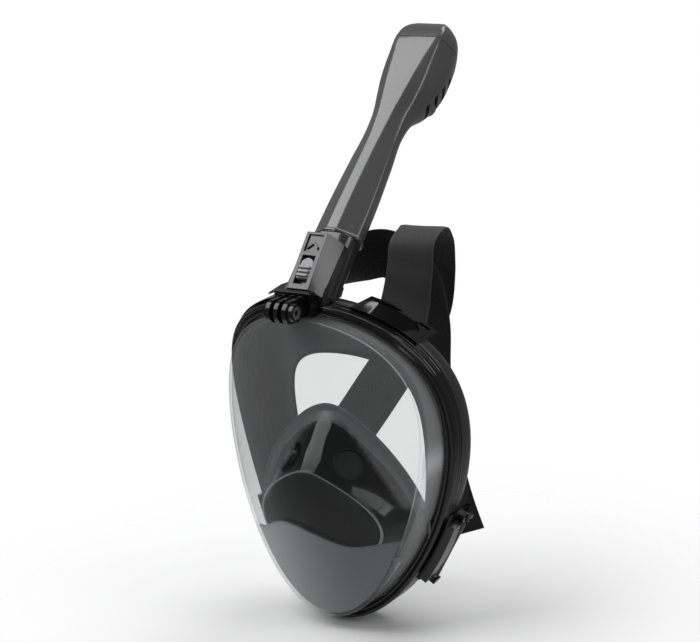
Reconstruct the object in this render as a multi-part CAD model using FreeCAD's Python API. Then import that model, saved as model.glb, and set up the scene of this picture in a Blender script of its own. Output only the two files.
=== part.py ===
"""Full face snorkel mask: lens, frame, silicone skirt, breathing pocket, dry-top tube, latch and straps.

Millimetres. Z is up as worn, the lens faces -Y and the wearer's left is +X. The origin is where the middle of
the wearer's face comes to rest. The frame, skirt and lens edge all follow one egg-shaped ring outline on one
saddle surface, and the tube, its socket and its latch share a local frame leaning back from the forehead.
"""
import FreeCAD
import Part
import functools
import math
import os

Vector = FreeCAD.Vector

# Ring outline, seen from the front, and the saddle that it is bent onto
RING_HALF_WIDTH = 85.5
RING_HALF_HEIGHT = 114.0
RING_EGG = 0.107
RING_SQUARE = 0.024
RING_DROP = 0.005
SADDLE_BACK = 19.9
SADDLE_SIDE = 0.00161
SADDLE_TOP = 0.00148
SADDLE_CENTRE_Z = -31.0
OUTLINE_POINTS = 48

# Far enough out of every part's way, and how far joined pieces run into one another
BIG = 400.0
REACH = 120.0
JOIN = 0.5

# Frame band: depths are measured forward (-) and back (+) from the saddle, widths inward (-) from the ring
BAND_FRONT = -13.0
BAND_WIDTH = 6.5
BAND_WALL = 2.0
FRONT_LIP_BACK = -8.0
FRAME_SPLIT = -6.0
REAR_LIP_FRONT = -2.6
FLANGE_FRONT = -7.9
FLANGE_BACK = -5.9
FLANGE_EDGE = -2.3
FLANGE_INNER = -10.2
GROOVE_INNER = -3.9
GROOVE_OUTER = -2.9
GROOVE_DEPTH = 1.6

# Lens
LENS_THICKNESS = 2.2
LENS_EDGE = -7.0
LENS_TAPER = 0.1
LENS_TAPER_START_Y = 22.0
LENS_LOFT_FRONT_Y = -52.0
LENS_LOFT_BACK = 30.0
LENS_DEPTH = 160.0
LENS_FRONT_Y = -36.0
LENS_CURVE_X = 0.0050
LENS_SLOPE_Z = -0.06
LENS_CURVE_Z = 0.0010

# Skirt
SKIRT_WALL = 2.0
SKIRT_BEAD_INNER = -8.5
SKIRT_OUTER = -0.5
SKIRT_STEP_FRONT = 0.3
SKIRT_DEPTH = 14.0
FACE_OPENING_HALF_WIDTH = 53.0
FACE_OPENING_TOP = 71.0
FACE_OPENING_BOTTOM = -92.0

# Breathing pocket over nose and mouth
POCKET_WALL = 2.0
POCKET_FRONT_Y = -42.0
POCKET_BACK_Y = 18.0
# half width, top, bottom and pinch of the pocket's outline at its front and back planes
POCKET_FRONT_OUTLINE = (36.0, -4.0, -56.0, 0.35)
POCKET_BACK_OUTLINE = (60.0, 54.0, -80.0, 0.24)
POCKET_DEPTH = 11.4
POCKET_LENS_GAP = 0.4
POCKET_EDGE_GAP = 0.5
CHIN_TOP = -46.0
CHIN_BACK = -8.2
POCKET_RIM_PEAK = (-1.0, 36.0)
POCKET_RIM_FOOT = (20.0, -80.0)
VALVE_RADIUS = 11.0
VALVE_THICKNESS = 3.0
VALVE_DISC_RADIUS = 9.6
VALVE_DISC_THICKNESS = 0.8
VALVE_FIT = 0.1
VALVE_LEDGE = 1.6
VALVE_HUB_RADIUS = 2.4
VALVE_HUB_LENGTH = 1.6
VALVE_SPOKE_RADIUS = 0.75
VALVE_STEM_RADIUS = 1.0
VALVE_KNOB_RADIUS = 1.7
VALVE_KNOB = (-3.4, -1.8)
SIDE_HOLE = (-14.0, 5.0)
DRAIN_HOLE = (-8.0, 12.0)
VALVE_SIDE_CENTRE = (23.5, -16.0, 4.0)
VALVE_SIDE_AXIS = (0.573, -0.571, 0.588)
DRAIN_CENTRE = (0.0, -8.0, -69.6)
DRAIN_AXIS = (0.0, -0.371, -0.928)

# Tube: stations along its axis from the lower rim
TUBE_LEAN = 49.0
TUBE_RIM = Vector(0.0, 23.2, 143.7)
TUBE_WALL = 1.8
TUBE_GAP = 0.3
# station, half width, reach forward, reach back
TUBE_STATIONS = (
    (0.0, 17.5, 12.0, 12.0),
    (30.0, 16.8, 11.6, 11.6),
    (60.0, 15.0, 10.4, 10.4),
    (86.0, 13.3, 9.4, 9.6),
    (99.0, 14.2, 9.8, 14.0),
    (112.0, 17.4, 10.5, 23.5),
    (126.0, 21.2, 11.2, 29.5),
    (144.0, 24.0, 11.3, 28.5),
    (162.0, 23.0, 10.4, 24.0),
)
CAP_STATIONS = (
    (162.3, 23.0, 10.4, 24.0),
    (170.0, 20.5, 8.6, 19.5),
    (175.5, 15.5, 5.6, 12.5),
    (177.5, 9.0, 1.5, 6.0),
)
SECTION_POWER = 2.7
TUBE_PULL_OFF = 45.0
SPIGOT_LENGTH = 30.0
SPIGOT_HALF_WIDTH = 13.5
SPIGOT_HALF_DEPTH = 9.0
SPIGOT_WALL = 1.8
COLLAR = (0.2, 8.0)
AIRWAY_HALF_WIDTH = 9.0
AIRWAY_HALF_DEPTH = 4.5
AIRWAY_TURN = -40.0
AIRWAY_DROP_Y = (-12.0, -4.5)
AIRWAY_DROP_Z = (100.0, 119.0)
DIVIDER_THICKNESS = 1.0
DIVIDER = (9.0, 108.0)
VENTS_PER_SIDE = 4
VENT_START = 110.0
VENT_PITCH = 9.0
VENT_HEIGHT = 3.4
VENT_DEPTH = 9.0
VENT_BACK = -12.0
VENT_STEP_BACK = -1.6
VENT_INNER_X = 8.0
REAR_PANEL_HALF_WIDTH = 14.0
REAR_PANEL = (141.0, 161.5)
REAR_PANEL_PROUD = 1.2
GUIDE = (152.0, 154.0)
GUIDE_HOLE = 6.0
FLOOR = (122.5, 124.5)
FLOOR_HOLE = 4.0
FLOOR_HOLES = ((-9.0, -4.0), (9.0, -4.0), (-9.0, -15.0), (9.0, -15.0))
HEAD_INSIDE = 0.2
FLOAT_RADIUS = 12.5
FLOAT_SEAL_RADIUS = 8.0
FLOAT_SEAL_THICKNESS = 2.0
FLOAT_BACK = -9.0
FLOAT_START = 124.8
FLOAT_END = 139.8

# Socket and latch
SOCKET_LENGTH = 46.0
SOCKET_HALF_WIDTH = 16.0
SOCKET_HALF_DEPTH = 11.5
SOCKET_FIT = 0.3
BOX_TOP = -9.0
BOX_BOTTOM = -50.0
BOX_FRONT_TOP = 23.0
BOX_FRONT_BOTTOM = 18.5
BOX_BACK = 9.7
BOX_FACE_HALF_WIDTH = 7.8
BOX_HALF_WIDTH = 15.0
LATCH_HALF_WIDTH = 4.6
LATCH_TRAVEL = 4.0
LATCH_LENGTH = 10.0
LATCH_BOTTOM = -42.0
LATCH_BACK = -4.2
LATCH_FACE = -0.6
LATCH_FIT = 0.3
LATCH_POCKET_BACK = -4.6
LATCH_POCKET_TOP = 16.3
LATCH_RIBS = 3
RIB_START = 1.0
RIB_PITCH = 2.9
RIB_HEIGHT = 1.5
RIB_FACE = 1.3
RIB_INSET = 0.7
RECESS_HALF_WIDTH = 5.6
RECESS_DEPTH = 1.2
RECESS = (19.0, 31.5)
SPRING_HALF_WIDTH = 2.0
SPRING_LEAF = 0.5
SPRING_FRONT = -4.9
SPRING_BACK = -6.8
SPRING_ENDS = (-2.5, 13.0)
SPRING_SLOT_BACK = -7.0
SPRING_SLOT = (-3.0, 14.0)
SOCKET_FLOOR = -34.0
GASKET_TOP = -32.2
GASKET_EDGE = 0.4
GASKET_WIDTH = 2.6
FOOT_HALF_WIDTH = 15.0
# side view of the socket's foot on the frame, in (y, z)
FOOT_OUTLINE = ((-20.5, 112.4), (-20.5, 120.0), (-17.0, 124.0), (0.0, 124.0), (5.0, 118.0), (1.0, 112.8))

# Camera mount: three prongs on the standard action-camera pitch
PRONG_RADIUS = 7.5
PRONG_THICKNESS = 3.0
PRONG_PITCH = 6.2
PRONG_BORE = 2.6
PRONG_CENTRE = Vector(0.0, -46.0, 115.0)
PRONG_ROOT_Y = -29.3
PRONG_ROOT_Z = (108.0, 122.0)
NUT_THREAD = 2.1
NUT_FLAT = 4.0
NUT_LENGTH = 3.0
NUT_FIT = 0.2
NUT_SINK = 0.6
NUT_BOSS_RADIUS = 6.0
NUT_BOSS_LENGTH = 4.0
MOUNT_BASE_HALF_WIDTH = 12.5
MOUNT_BASE_Y = (-31.6, -24.3)
MOUNT_BASE_Z = (107.6, 121.5)
MOUNT_HEEL_Y = (-24.4, -21.2)
MOUNT_HEEL_TOP = 117.5
MOUNT_LIP_HALF_WIDTH = 13.5
MOUNT_LIP_Y = (-33.2, -27.2)
MOUNT_LIP_Z = (120.5, 124.2)

# Straps and their fastenings
STRAP_WIDTH = 34.0
STRAP_THICKNESS = 1.8
STRAP_SECTIONS = 30
PLATE_FRONT = -4.0
PLATE_INNER = 0.15
PLATE_OUTER = 2.45
SLOT_INNER = -2.0
SLOT_OUTER = 6.0
ARM_ANGLES = (16.0, 42.0)
ARM_BACK = 22.0
ARM_SLOT = (16.0, 19.0)
ARM_SLOT_MARGIN = 2.4
BRACKET_ANGLES = (110.0, 137.5)
BRACKET_BACK = 20.0
BRACKET_SLOT = (13.5, 17.0)
BRACKET_SLOT_MARGIN = 3.5
EAR_ARC = 2.0
EAR_REACH = 3.0
CLIP_ANGLES = (112.6, 134.9)
CLIP_INNER = 2.8
CLIP_OUTER = 7.8
CLIP_FRONT = -9.0
PIN_OFFSET = 7.5
PIN_DEPTH = 6.0
PIN_RADIUS = 1.3
PIN_CLEARANCE = 0.05
PIN_OVERHANG = 1.2
KNUCKLE_RADIUS = 2.4
KNUCKLE_INSET = 3.0
CLIP_REAR = 0.3
CLIP_SWING_ROOM = 70.0
# Each strap: centre points, and the direction across its width at each of them
LEFT_STRAP = (
    ((52.0, 22.8, 106.0), (0.90, 0.05, -0.42)),
    ((53.5, 24.5, 128.0), (0.98, 0.00, -0.15)),
    ((54.0, 30.0, 147.0), (1.00, 0.00, 0.05)),
    ((54.0, 43.0, 152.5), (1.00, 0.00, 0.05)),
    ((50.0, 58.0, 144.0), (1.00, -0.05, 0.05)),
    ((43.0, 72.0, 122.0), (1.00, -0.10, 0.15)),
    ((34.0, 83.0, 92.0), (0.95, -0.10, -0.25)),
    ((17.5, 88.0, 64.0), (0.85, 0.00, -0.45)),
    ((-4.5, 87.0, 35.0), (0.80, 0.10, -0.55)),
    ((-32.0, 78.0, -6.0), (0.75, 0.35, -0.55)),
    ((-56.0, 65.0, -42.0), (0.55, 0.30, -0.65)),
    ((-69.7, 50.0, -61.0), (0.42, -0.20, -0.88)),
)
RIGHT_STRAP = (
    ((-52.0, 22.8, 106.0), (0.90, -0.05, 0.42)),
    ((-44.0, 35.0, 108.0), (0.85, -0.25, 0.48)),
    ((-26.0, 46.0, 112.0), (0.55, -0.40, 0.73)),
    ((-4.0, 52.0, 123.0), (0.05, -0.25, 0.97)),
    ((18.0, 56.0, 128.0), (-0.05, 0.00, 0.98)),
    ((33.0, 60.0, 117.0), (0.50, 0.00, 0.80)),
    ((38.0, 67.0, 90.0), (0.92, 0.00, 0.38)),
    ((35.0, 75.0, 45.0), (1.00, -0.10, 0.00)),
    ((42.0, 71.0, 8.0), (0.95, -0.30, 0.15)),
    ((58.0, 61.0, -32.0), (0.70, -0.30, 0.60)),
    ((69.7, 50.0, -61.0), (0.42, 0.20, 0.88)),
)


# ---------------------------------------------------------------- ring geometry
def ring_point(angle, offset=0.0):
    """Point (x, z) on the ring outline, angle in degrees from the top towards +X, moved outward by offset."""
    t = math.radians(angle)
    x = RING_HALF_WIDTH * (math.sin(t) + RING_EGG * math.sin(2 * t) + RING_SQUARE * math.sin(3 * t))
    z = RING_HALF_HEIGHT * (math.cos(t) - RING_DROP * (math.cos(2 * t) - 1))
    dx = RING_HALF_WIDTH * (math.cos(t) + 2 * RING_EGG * math.cos(2 * t) + 3 * RING_SQUARE * math.cos(3 * t))
    dz = RING_HALF_HEIGHT * (-math.sin(t) + 2 * RING_DROP * math.sin(2 * t))
    length = math.hypot(dx, dz)
    return x - offset * dz / length, z + offset * dx / length


def saddle_y(x, z):
    return SADDLE_BACK + SADDLE_SIDE * x * x - SADDLE_TOP * (z - SADDLE_CENTRE_Z) ** 2


def lens_y(x, z):
    return LENS_FRONT_Y + LENS_CURVE_X * x * x + LENS_SLOPE_Z * z + LENS_CURVE_Z * z * z


def closed_spline(points):
    curve = Part.BSplineCurve()
    curve.interpolate(points, PeriodicFlag=True)
    return Part.Wire([curve.toShape()])


def ring_wire(offset, y, squeeze=1.0):
    points = []
    for i in range(OUTLINE_POINTS):
        x, z = ring_point(360.0 * i / OUTLINE_POINTS, offset)
        points.append(Vector(x * squeeze, y, z))
    return closed_spline(points)


@functools.lru_cache(maxsize=None)
def ring_prism(offset):
    return Part.Face(ring_wire(offset, -BIG / 4)).extrude(Vector(0, BIG / 2, 0))


def quadratic_face(height, shift, half_x=130.0, half_z=150.0):
    """Exact face y = height(x, z) + shift for a height that is quadratic in x and in z."""
    def polar(f, a, b):
        return (4 * f((a + b) / 2) - f(a) - f(b)) / 2

    corners = (-half_x, half_x), (-half_z, half_z)

    def control(i, j):
        if i == 1:
            return polar(lambda x: control_z(x, j), *corners[0])
        return control_z(corners[0][i // 2], j)

    def control_z(x, j):
        if j == 1:
            return polar(lambda z: height(x, z), *corners[1])
        return height(x, corners[1][j // 2])

    surface = Part.BezierSurface()
    surface.increase(2, 2)
    for i, x in enumerate((-half_x, 0.0, half_x)):
        for j, z in enumerate((-half_z, 0.0, half_z)):
            surface.setPole(i + 1, j + 1, Vector(x, control(i, j) + shift, z))
    return surface.toShape()


@functools.lru_cache(maxsize=None)
def slab(height, front, back):
    """Solid between two copies of a quadratic face, from front to back."""
    return quadratic_face(height, front).extrude(Vector(0, back - front, 0))


def band(inner, outer, front, back):
    """Ring between two offsets of the outline, and between two depths from the saddle."""
    ring = ring_prism(outer).cut(ring_prism(inner))
    return ring.common(slab(saddle_y, front, back))


def wedge(angle_from, angle_to, side=1):
    """Prism that keeps the stretch of the ring between two angles, on the +X or -X side."""
    near, far = -45.0, 60.0
    outline = [ring_point(angle_from, near), ring_point(angle_from, far),
               ring_point(angle_to, far), ring_point(angle_to, near)]
    points = [Vector(side * x, -BIG / 4, z) for x, z in outline]
    return Part.Face(Part.makePolygon(points + points[:1])).extrude(Vector(0, BIG / 2, 0))


def mirror(shape):
    return shape.mirror(Vector(0, 0, 0), Vector(1, 0, 0))


def box(x0, x1, y0, y1, z0, z1):
    return Part.makeBox(x1 - x0, y1 - y0, z1 - z0, Vector(x0, y0, z0))


def cylinder(radius, start, end):
    axis = end - start
    return Part.makeCylinder(radius, axis.Length, start, axis)


def fused(shapes):
    return shapes[0].multiFuse(shapes[1:]).removeSplitter()


# ---------------------------------------------------------------- tube geometry
LEAN = math.radians(TUBE_LEAN)
ALONG = Vector(0, math.sin(LEAN), math.cos(LEAN))
FORWARD = Vector(0, -math.cos(LEAN), math.sin(LEAN))


def tube_point(x, forward, along):
    return TUBE_RIM + Vector(x, 0, 0) + FORWARD * forward + ALONG * along


def oval(half_width, front, back, along, shrink=0.0, points=24):
    """Closed superellipse across the tube axis, with its own reach to the front and to the back."""
    middle = (front - back) / 2
    half_depth = (front + back) / 2 - shrink
    half_width = half_width - shrink
    ring = []
    for i in range(points):
        t = 2 * math.pi * i / points
        c, s = math.cos(t), math.sin(t)
        x = half_width * math.copysign(abs(c) ** (2 / SECTION_POWER), c)
        n = middle + half_depth * math.copysign(abs(s) ** (2 / SECTION_POWER), s)
        ring.append(tube_point(x, n, along))
    return closed_spline(ring)


def tube_loft(stations, shrink=0.0):
    wires = [oval(w, f, b, s, shrink) for s, w, f, b in stations]
    return Part.makeLoft(wires, True, False)


def oval_prism(half_width, half_depth, start, end):
    face = Part.Face(oval(half_width, half_depth, half_depth, start))
    return face.extrude(ALONG * (end - start))


def tube_box(x0, x1, n0, n1, s0, s1):
    corners = [tube_point(x, n, s0) for x, n in ((x0, n0), (x1, n0), (x1, n1), (x0, n1))]
    return Part.Face(Part.makePolygon(corners + corners[:1])).extrude(ALONG * (s1 - s0))


# ---------------------------------------------------------------- mask
def front_frame():
    lip = band(-BAND_WIDTH, 0.0, BAND_FRONT, FRONT_LIP_BACK)
    wall = band(-BAND_WALL, 0.0, FRONT_LIP_BACK - JOIN, FRAME_SPLIT)
    groove = band(GROOVE_INNER, GROOVE_OUTER, BAND_FRONT - GROOVE_DEPTH, BAND_FRONT + GROOVE_DEPTH)
    return fused([lip, wall]).cut(groove).cut(airway())


def rear_frame():
    wall = band(-BAND_WALL, 0.0, FRAME_SPLIT, REAR_LIP_FRONT + JOIN)
    lip = band(-BAND_WIDTH + 0.2, 0.0, REAR_LIP_FRONT, 0.0)
    return fused([wall, lip]).cut(airway())


@functools.lru_cache(maxsize=None)
def lens_body(offset, thickness):
    """Everything behind the lens's front surface and inside its tapered wall."""
    span = LENS_TAPER_START_Y - LENS_LOFT_FRONT_Y
    squeeze = 1.0 - LENS_TAPER * span / RING_HALF_WIDTH
    widen = 1.0 + LENS_TAPER * LENS_LOFT_BACK / RING_HALF_WIDTH
    wires = [ring_wire(offset, LENS_TAPER_START_Y + LENS_LOFT_BACK, widen),
             ring_wire(offset, LENS_LOFT_FRONT_Y, squeeze)]
    block = Part.makeLoft(wires, True, True)
    return block.common(slab(lens_y, thickness, thickness + LENS_DEPTH))


def visor_lens():
    shell = lens_body(LENS_EDGE, 0.0).cut(lens_body(LENS_EDGE - LENS_THICKNESS, LENS_THICKNESS))
    shell = shell.common(slab(saddle_y, -REACH, FLANGE_BACK))
    flange = band(FLANGE_INNER, FLANGE_EDGE, FLANGE_FRONT, FLANGE_BACK)
    return fused([shell.common(ring_prism(LENS_EDGE + JOIN)), flange])


def face_opening():
    middle = (FACE_OPENING_TOP + FACE_OPENING_BOTTOM) / 2
    half_height = (FACE_OPENING_TOP - FACE_OPENING_BOTTOM) / 2
    points = []
    for i in range(OUTLINE_POINTS // 2):
        t = 4 * math.pi * i / OUTLINE_POINTS
        x = FACE_OPENING_HALF_WIDTH * (math.sin(t) + 0.05 * math.sin(2 * t))
        points.append(Vector(x, -BIG / 4, middle + half_height * math.cos(t)))
    return Part.Face(closed_spline(points)).extrude(Vector(0, BIG / 2, 0))


def face_skirt():
    bead = band(SKIRT_BEAD_INNER, FLANGE_EDGE, FLANGE_BACK + 0.1, REAR_LIP_FRONT - 0.1)
    neck = band(SKIRT_BEAD_INNER, -BAND_WIDTH, REAR_LIP_FRONT - JOIN, SKIRT_STEP_FRONT + SKIRT_WALL)
    step = band(SKIRT_BEAD_INNER, SKIRT_OUTER, SKIRT_STEP_FRONT, SKIRT_STEP_FRONT + SKIRT_WALL)
    wall = band(SKIRT_OUTER - SKIRT_WALL, SKIRT_OUTER, SKIRT_STEP_FRONT, SKIRT_DEPTH)
    seal = ring_prism(SKIRT_OUTER).common(slab(saddle_y, SKIRT_DEPTH - SKIRT_WALL, SKIRT_DEPTH))
    return fused([bead, neck, step, wall, seal.cut(face_opening())]).cut(airway())


# ---------------------------------------------------------------- breathing pocket
def pocket_wire(y, outline, shrink):
    half_width, top, bottom, pinch = outline
    points = []
    for i in range(OUTLINE_POINTS // 2):
        t = 4 * math.pi * i / OUTLINE_POINTS
        x = (half_width - shrink) * (math.sin(t) - pinch * math.sin(2 * t))
        z = (top + bottom) / 2 + ((top - bottom) / 2 - shrink) * math.cos(t)
        points.append(Vector(x, y, z))
    return closed_spline(points)


def pocket_block(shrink):
    front = pocket_wire(POCKET_FRONT_Y, POCKET_FRONT_OUTLINE, shrink)
    back = pocket_wire(POCKET_BACK_Y, POCKET_BACK_OUTLINE, shrink)
    return Part.makeLoft([front, back], True, True)


def rim_cut():
    """Space behind the sloping rim of the pocket."""
    peak, foot = POCKET_RIM_PEAK, POCKET_RIM_FOOT
    slope = Vector(0, foot[0] - peak[0], foot[1] - peak[1])
    corners = [Vector(0, peak[0], peak[1]) - slope, Vector(0, foot[0], foot[1]) + slope]
    corners += [corners[1] + Vector(0, BIG, 0), corners[0] + Vector(0, BIG, 0)]
    face = Part.Face(Part.makePolygon(corners + corners[:1]))
    face.translate(Vector(-BIG / 2, 0, 0))
    return face.extrude(Vector(BIG, 0, 0))


def valve_axis():
    return Vector(*VALVE_SIDE_AXIS).normalize()


def valve_centre():
    return Vector(*VALVE_SIDE_CENTRE)


def drain_axis():
    return Vector(*DRAIN_AXIS).normalize()


def disc(centre, axis, radius, start, end):
    return cylinder(radius, centre + axis * start, centre + axis * end)


def orinasal_pocket():
    """Cup with a closed front just behind the lens, and a chin shield that carries it down to the frame."""
    edge = LENS_EDGE - LENS_THICKNESS - POCKET_EDGE_GAP
    front = LENS_THICKNESS + POCKET_LENS_GAP
    cavity = lens_body(edge, front)
    hollow = pocket_block(POCKET_WALL).common(lens_body(edge, front + POCKET_WALL))
    cup = pocket_block(0.0).common(cavity).cut(rim_cut()).common(slab(saddle_y, -REACH, POCKET_DEPTH))
    chin = box(-REACH, REACH, -REACH, REACH, -BIG / 2, CHIN_TOP)
    shield = cavity.cut(lens_body(edge - POCKET_WALL, front + POCKET_WALL)).common(chin)
    shield = shield.common(slab(saddle_y, -REACH, CHIN_BACK))
    cup = cup.fuse(shield).cut(hollow)
    side_hole = disc(valve_centre(), valve_axis(), VALVE_RADIUS + VALVE_FIT, *SIDE_HOLE)
    cup = cup.cut(side_hole).cut(mirror(side_hole))
    cup = cup.cut(disc(Vector(*DRAIN_CENTRE), drain_axis(), VALVE_RADIUS + VALVE_FIT, *DRAIN_HOLE))
    return max(cup.Solids, key=lambda solid: solid.Volume)


def valve_seat(centre, axis):
    """Ring with a three-arm spider and a hub for the disc's stem."""
    ring = disc(centre, axis, VALVE_RADIUS, -VALVE_THICKNESS, VALVE_THICKNESS)
    ring = ring.cut(disc(centre, axis, VALVE_DISC_RADIUS - VALVE_LEDGE, -VALVE_THICKNESS, VALVE_THICKNESS))
    ring = ring.cut(disc(centre, axis, VALVE_DISC_RADIUS + 3 * VALVE_FIT, 0.0, VALVE_THICKNESS))
    hub = disc(centre, axis, VALVE_HUB_RADIUS, -VALVE_HUB_LENGTH, 0.0)
    spokes = []
    across = axis.cross(Vector(0, 0, 1) if abs(axis.z) < 0.9 else Vector(0, 1, 0)).normalize()
    for i in range(3):
        direction = FreeCAD.Rotation(axis, 120.0 * i).multVec(across)
        start = centre - axis * (VALVE_HUB_LENGTH / 2)
        spokes.append(cylinder(VALVE_SPOKE_RADIUS, start, start + direction * (VALVE_DISC_RADIUS - JOIN)))
    bore = disc(centre, axis, VALVE_STEM_RADIUS + VALVE_FIT, -VALVE_THICKNESS, 1.0)
    return fused([ring, hub] + spokes).cut(bore)


def valve_disc(centre, axis):
    """Mushroom valve: thin flap with a stem through the seat's hub."""
    flap = disc(centre, axis, VALVE_DISC_RADIUS, VALVE_FIT, VALVE_FIT + VALVE_DISC_THICKNESS)
    stem = disc(centre, axis, VALVE_STEM_RADIUS, sum(VALVE_KNOB) / 2, VALVE_FIT + VALVE_DISC_THICKNESS / 2)
    knob = disc(centre, axis, VALVE_KNOB_RADIUS, *VALVE_KNOB)
    return fused([flap, stem, knob])


# ---------------------------------------------------------------- socket, latch and camera mount
def latch_box():
    """Tapering box on the socket's front, chamfered from its narrow face to the socket's width."""
    def section(along, front):
        back = BOX_BACK
        outline = ((BOX_FACE_HALF_WIDTH, front), (BOX_HALF_WIDTH, back + 1.0), (BOX_HALF_WIDTH, 0.0),
                   (-BOX_HALF_WIDTH, 0.0), (-BOX_HALF_WIDTH, back + 1.0), (-BOX_FACE_HALF_WIDTH, front))
        points = [tube_point(x, n, along) for x, n in outline]
        return Part.makePolygon(points + points[:1])
    return Part.makeLoft([section(BOX_BOTTOM, BOX_FRONT_BOTTOM), section(BOX_TOP, BOX_FRONT_TOP)], True, True)


def box_front(along):
    share = (along - BOX_BOTTOM) / (BOX_TOP - BOX_BOTTOM)
    return BOX_FRONT_BOTTOM + share * (BOX_FRONT_TOP - BOX_FRONT_BOTTOM)


SLIDE_TILT = math.atan2(BOX_FRONT_TOP - BOX_FRONT_BOTTOM, BOX_TOP - BOX_BOTTOM)
SLIDE = ALONG * math.cos(SLIDE_TILT) + FORWARD * math.sin(SLIDE_TILT)
SLIDE_OUT = FORWARD * math.cos(SLIDE_TILT) - ALONG * math.sin(SLIDE_TILT)
SLIDE_ORIGIN = tube_point(0.0, box_front(LATCH_BOTTOM), LATCH_BOTTOM)


def slide_box(x0, x1, out0, out1, up0, up1):
    """Box in the latch's own frame: out from the box's front face, up along it."""
    def place(x, out, up):
        return SLIDE_ORIGIN + Vector(x, 0, 0) + SLIDE_OUT * out + SLIDE * up
    corners = [place(x, out, up0) for x, out in ((x0, out0), (x1, out0), (x1, out1), (x0, out1))]
    return Part.Face(Part.makePolygon(corners + corners[:1])).extrude(SLIDE * (up1 - up0))


@functools.lru_cache(maxsize=None)
def airway():
    """Air passage from the socket's floor, down through the rear of the frame into the mask."""
    channel = oval_prism(AIRWAY_HALF_WIDTH, AIRWAY_HALF_DEPTH, AIRWAY_TURN, -SPIGOT_LENGTH)
    return channel.fuse(box(-AIRWAY_HALF_WIDTH, AIRWAY_HALF_WIDTH, *AIRWAY_DROP_Y, *AIRWAY_DROP_Z))


def snorkel_socket():
    body = oval_prism(SOCKET_HALF_WIDTH, SOCKET_HALF_DEPTH, -SOCKET_LENGTH, -TUBE_GAP)
    points = [Vector(-FOOT_HALF_WIDTH, y, z) for y, z in FOOT_OUTLINE]
    foot = Part.Face(Part.makePolygon(points + points[:1])).extrude(Vector(2 * FOOT_HALF_WIDTH, 0, 0))
    shell = fused([body, latch_box(), foot]).cut(frame_seat())
    bore = oval_prism(SPIGOT_HALF_WIDTH + SOCKET_FIT, SPIGOT_HALF_DEPTH + SOCKET_FIT, SOCKET_FLOOR, TUBE_WALL)
    side = LATCH_HALF_WIDTH + LATCH_FIT
    pocket = slide_box(-side, side, LATCH_POCKET_BACK, BOX_BACK, -LATCH_TRAVEL - JOIN, LATCH_POCKET_TOP)
    recess = slide_box(-RECESS_HALF_WIDTH, RECESS_HALF_WIDTH, -RECESS_DEPTH, BOX_BACK, *RECESS)
    side = SPRING_HALF_WIDTH + LATCH_FIT
    spring_slot = slide_box(-side, side, SPRING_SLOT_BACK, LATCH_POCKET_BACK + VALVE_FIT, *SPRING_SLOT)
    return shell.cut(bore).cut(airway()).cut(pocket).cut(recess).cut(spring_slot).fuse(lock_arrow())


def frame_seat():
    """The frame's own space, with a little to spare, for whatever sits on top of it."""
    return ring_prism(PLATE_INNER).common(slab(saddle_y, BAND_FRONT - PLATE_INNER, REACH / 3))


def lock_arrow():
    """Raised arrow in the recess above the thumb slide."""
    middle, tip, half = 23.0, 27.0, 4.0
    bar = 2.0
    upper = [(-half, middle), (0.0, tip), (half, middle)]
    outline = upper + [(x, up - bar) for x, up in reversed(upper)]
    floor = SLIDE_ORIGIN - SLIDE_OUT * (RECESS_DEPTH + JOIN)
    points = [floor + Vector(x, 0, 0) + SLIDE * up for x, up in outline]
    return Part.Face(Part.makePolygon(points + points[:1])).extrude(SLIDE_OUT * (RECESS_DEPTH + JOIN))


def release_latch():
    """Arched thumb slide with three ribs, and a tooth bar behind it."""
    plate = slide_box(-LATCH_HALF_WIDTH, LATCH_HALF_WIDTH, LATCH_BACK, LATCH_FACE, 0.0, LATCH_LENGTH)
    arch_centre = SLIDE_ORIGIN + SLIDE * LATCH_LENGTH
    arch_back, arch_face = arch_centre + SLIDE_OUT * LATCH_BACK, arch_centre + SLIDE_OUT * LATCH_FACE
    arch = cylinder(LATCH_HALF_WIDTH, arch_back, arch_face)
    side = LATCH_HALF_WIDTH - RIB_INSET
    ribs = []
    for i in range(LATCH_RIBS):
        up = RIB_START + RIB_PITCH * i
        ribs.append(slide_box(-side, side, LATCH_FACE - JOIN, RIB_FACE, up, up + RIB_HEIGHT))
    return fused([plate, arch] + ribs)


def latch_spring():
    """Folded leaf spring in the slot behind the thumb slide."""
    side = SPRING_HALF_WIDTH
    low, high = SPRING_ENDS
    leaf = slide_box(-side, side, SPRING_FRONT - SPRING_LEAF, SPRING_FRONT, low, high)
    fold = slide_box(-side, side, SPRING_BACK, SPRING_FRONT, low, low + SPRING_LEAF)
    back = slide_box(-side, side, SPRING_BACK, SPRING_BACK + SPRING_LEAF, low, high + SPRING_LEAF)
    return fused([leaf, fold, back])


def socket_gasket():
    half_width = SPIGOT_HALF_WIDTH - GASKET_EDGE
    half_depth = SPIGOT_HALF_DEPTH - GASKET_EDGE
    outer = oval_prism(half_width, half_depth, SOCKET_FLOOR, GASKET_TOP)
    inner = oval_prism(half_width - GASKET_WIDTH, half_depth - GASKET_WIDTH, SOCKET_FLOOR, GASKET_TOP)
    return outer.cut(inner)


def prong(x0, x1):
    centre = PRONG_CENTRE
    disc_part = Part.makeCylinder(PRONG_RADIUS, x1 - x0, Vector(x0, centre.y, centre.z), Vector(1, 0, 0))
    reach = PRONG_RADIUS * math.cos(math.asin(1 / 4))
    root = [(PRONG_ROOT_Y, z) for z in PRONG_ROOT_Z]
    lean = PRONG_RADIUS / 4
    outline = [(centre.y - lean, centre.z + reach), (centre.y + lean, centre.z - reach)] + root
    points = [Vector(x0, y, z) for y, z in outline]
    arm = Part.Face(Part.makePolygon(points + points[:1])).extrude(Vector(x1 - x0, 0, 0))
    return disc_part.fuse(arm)


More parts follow.
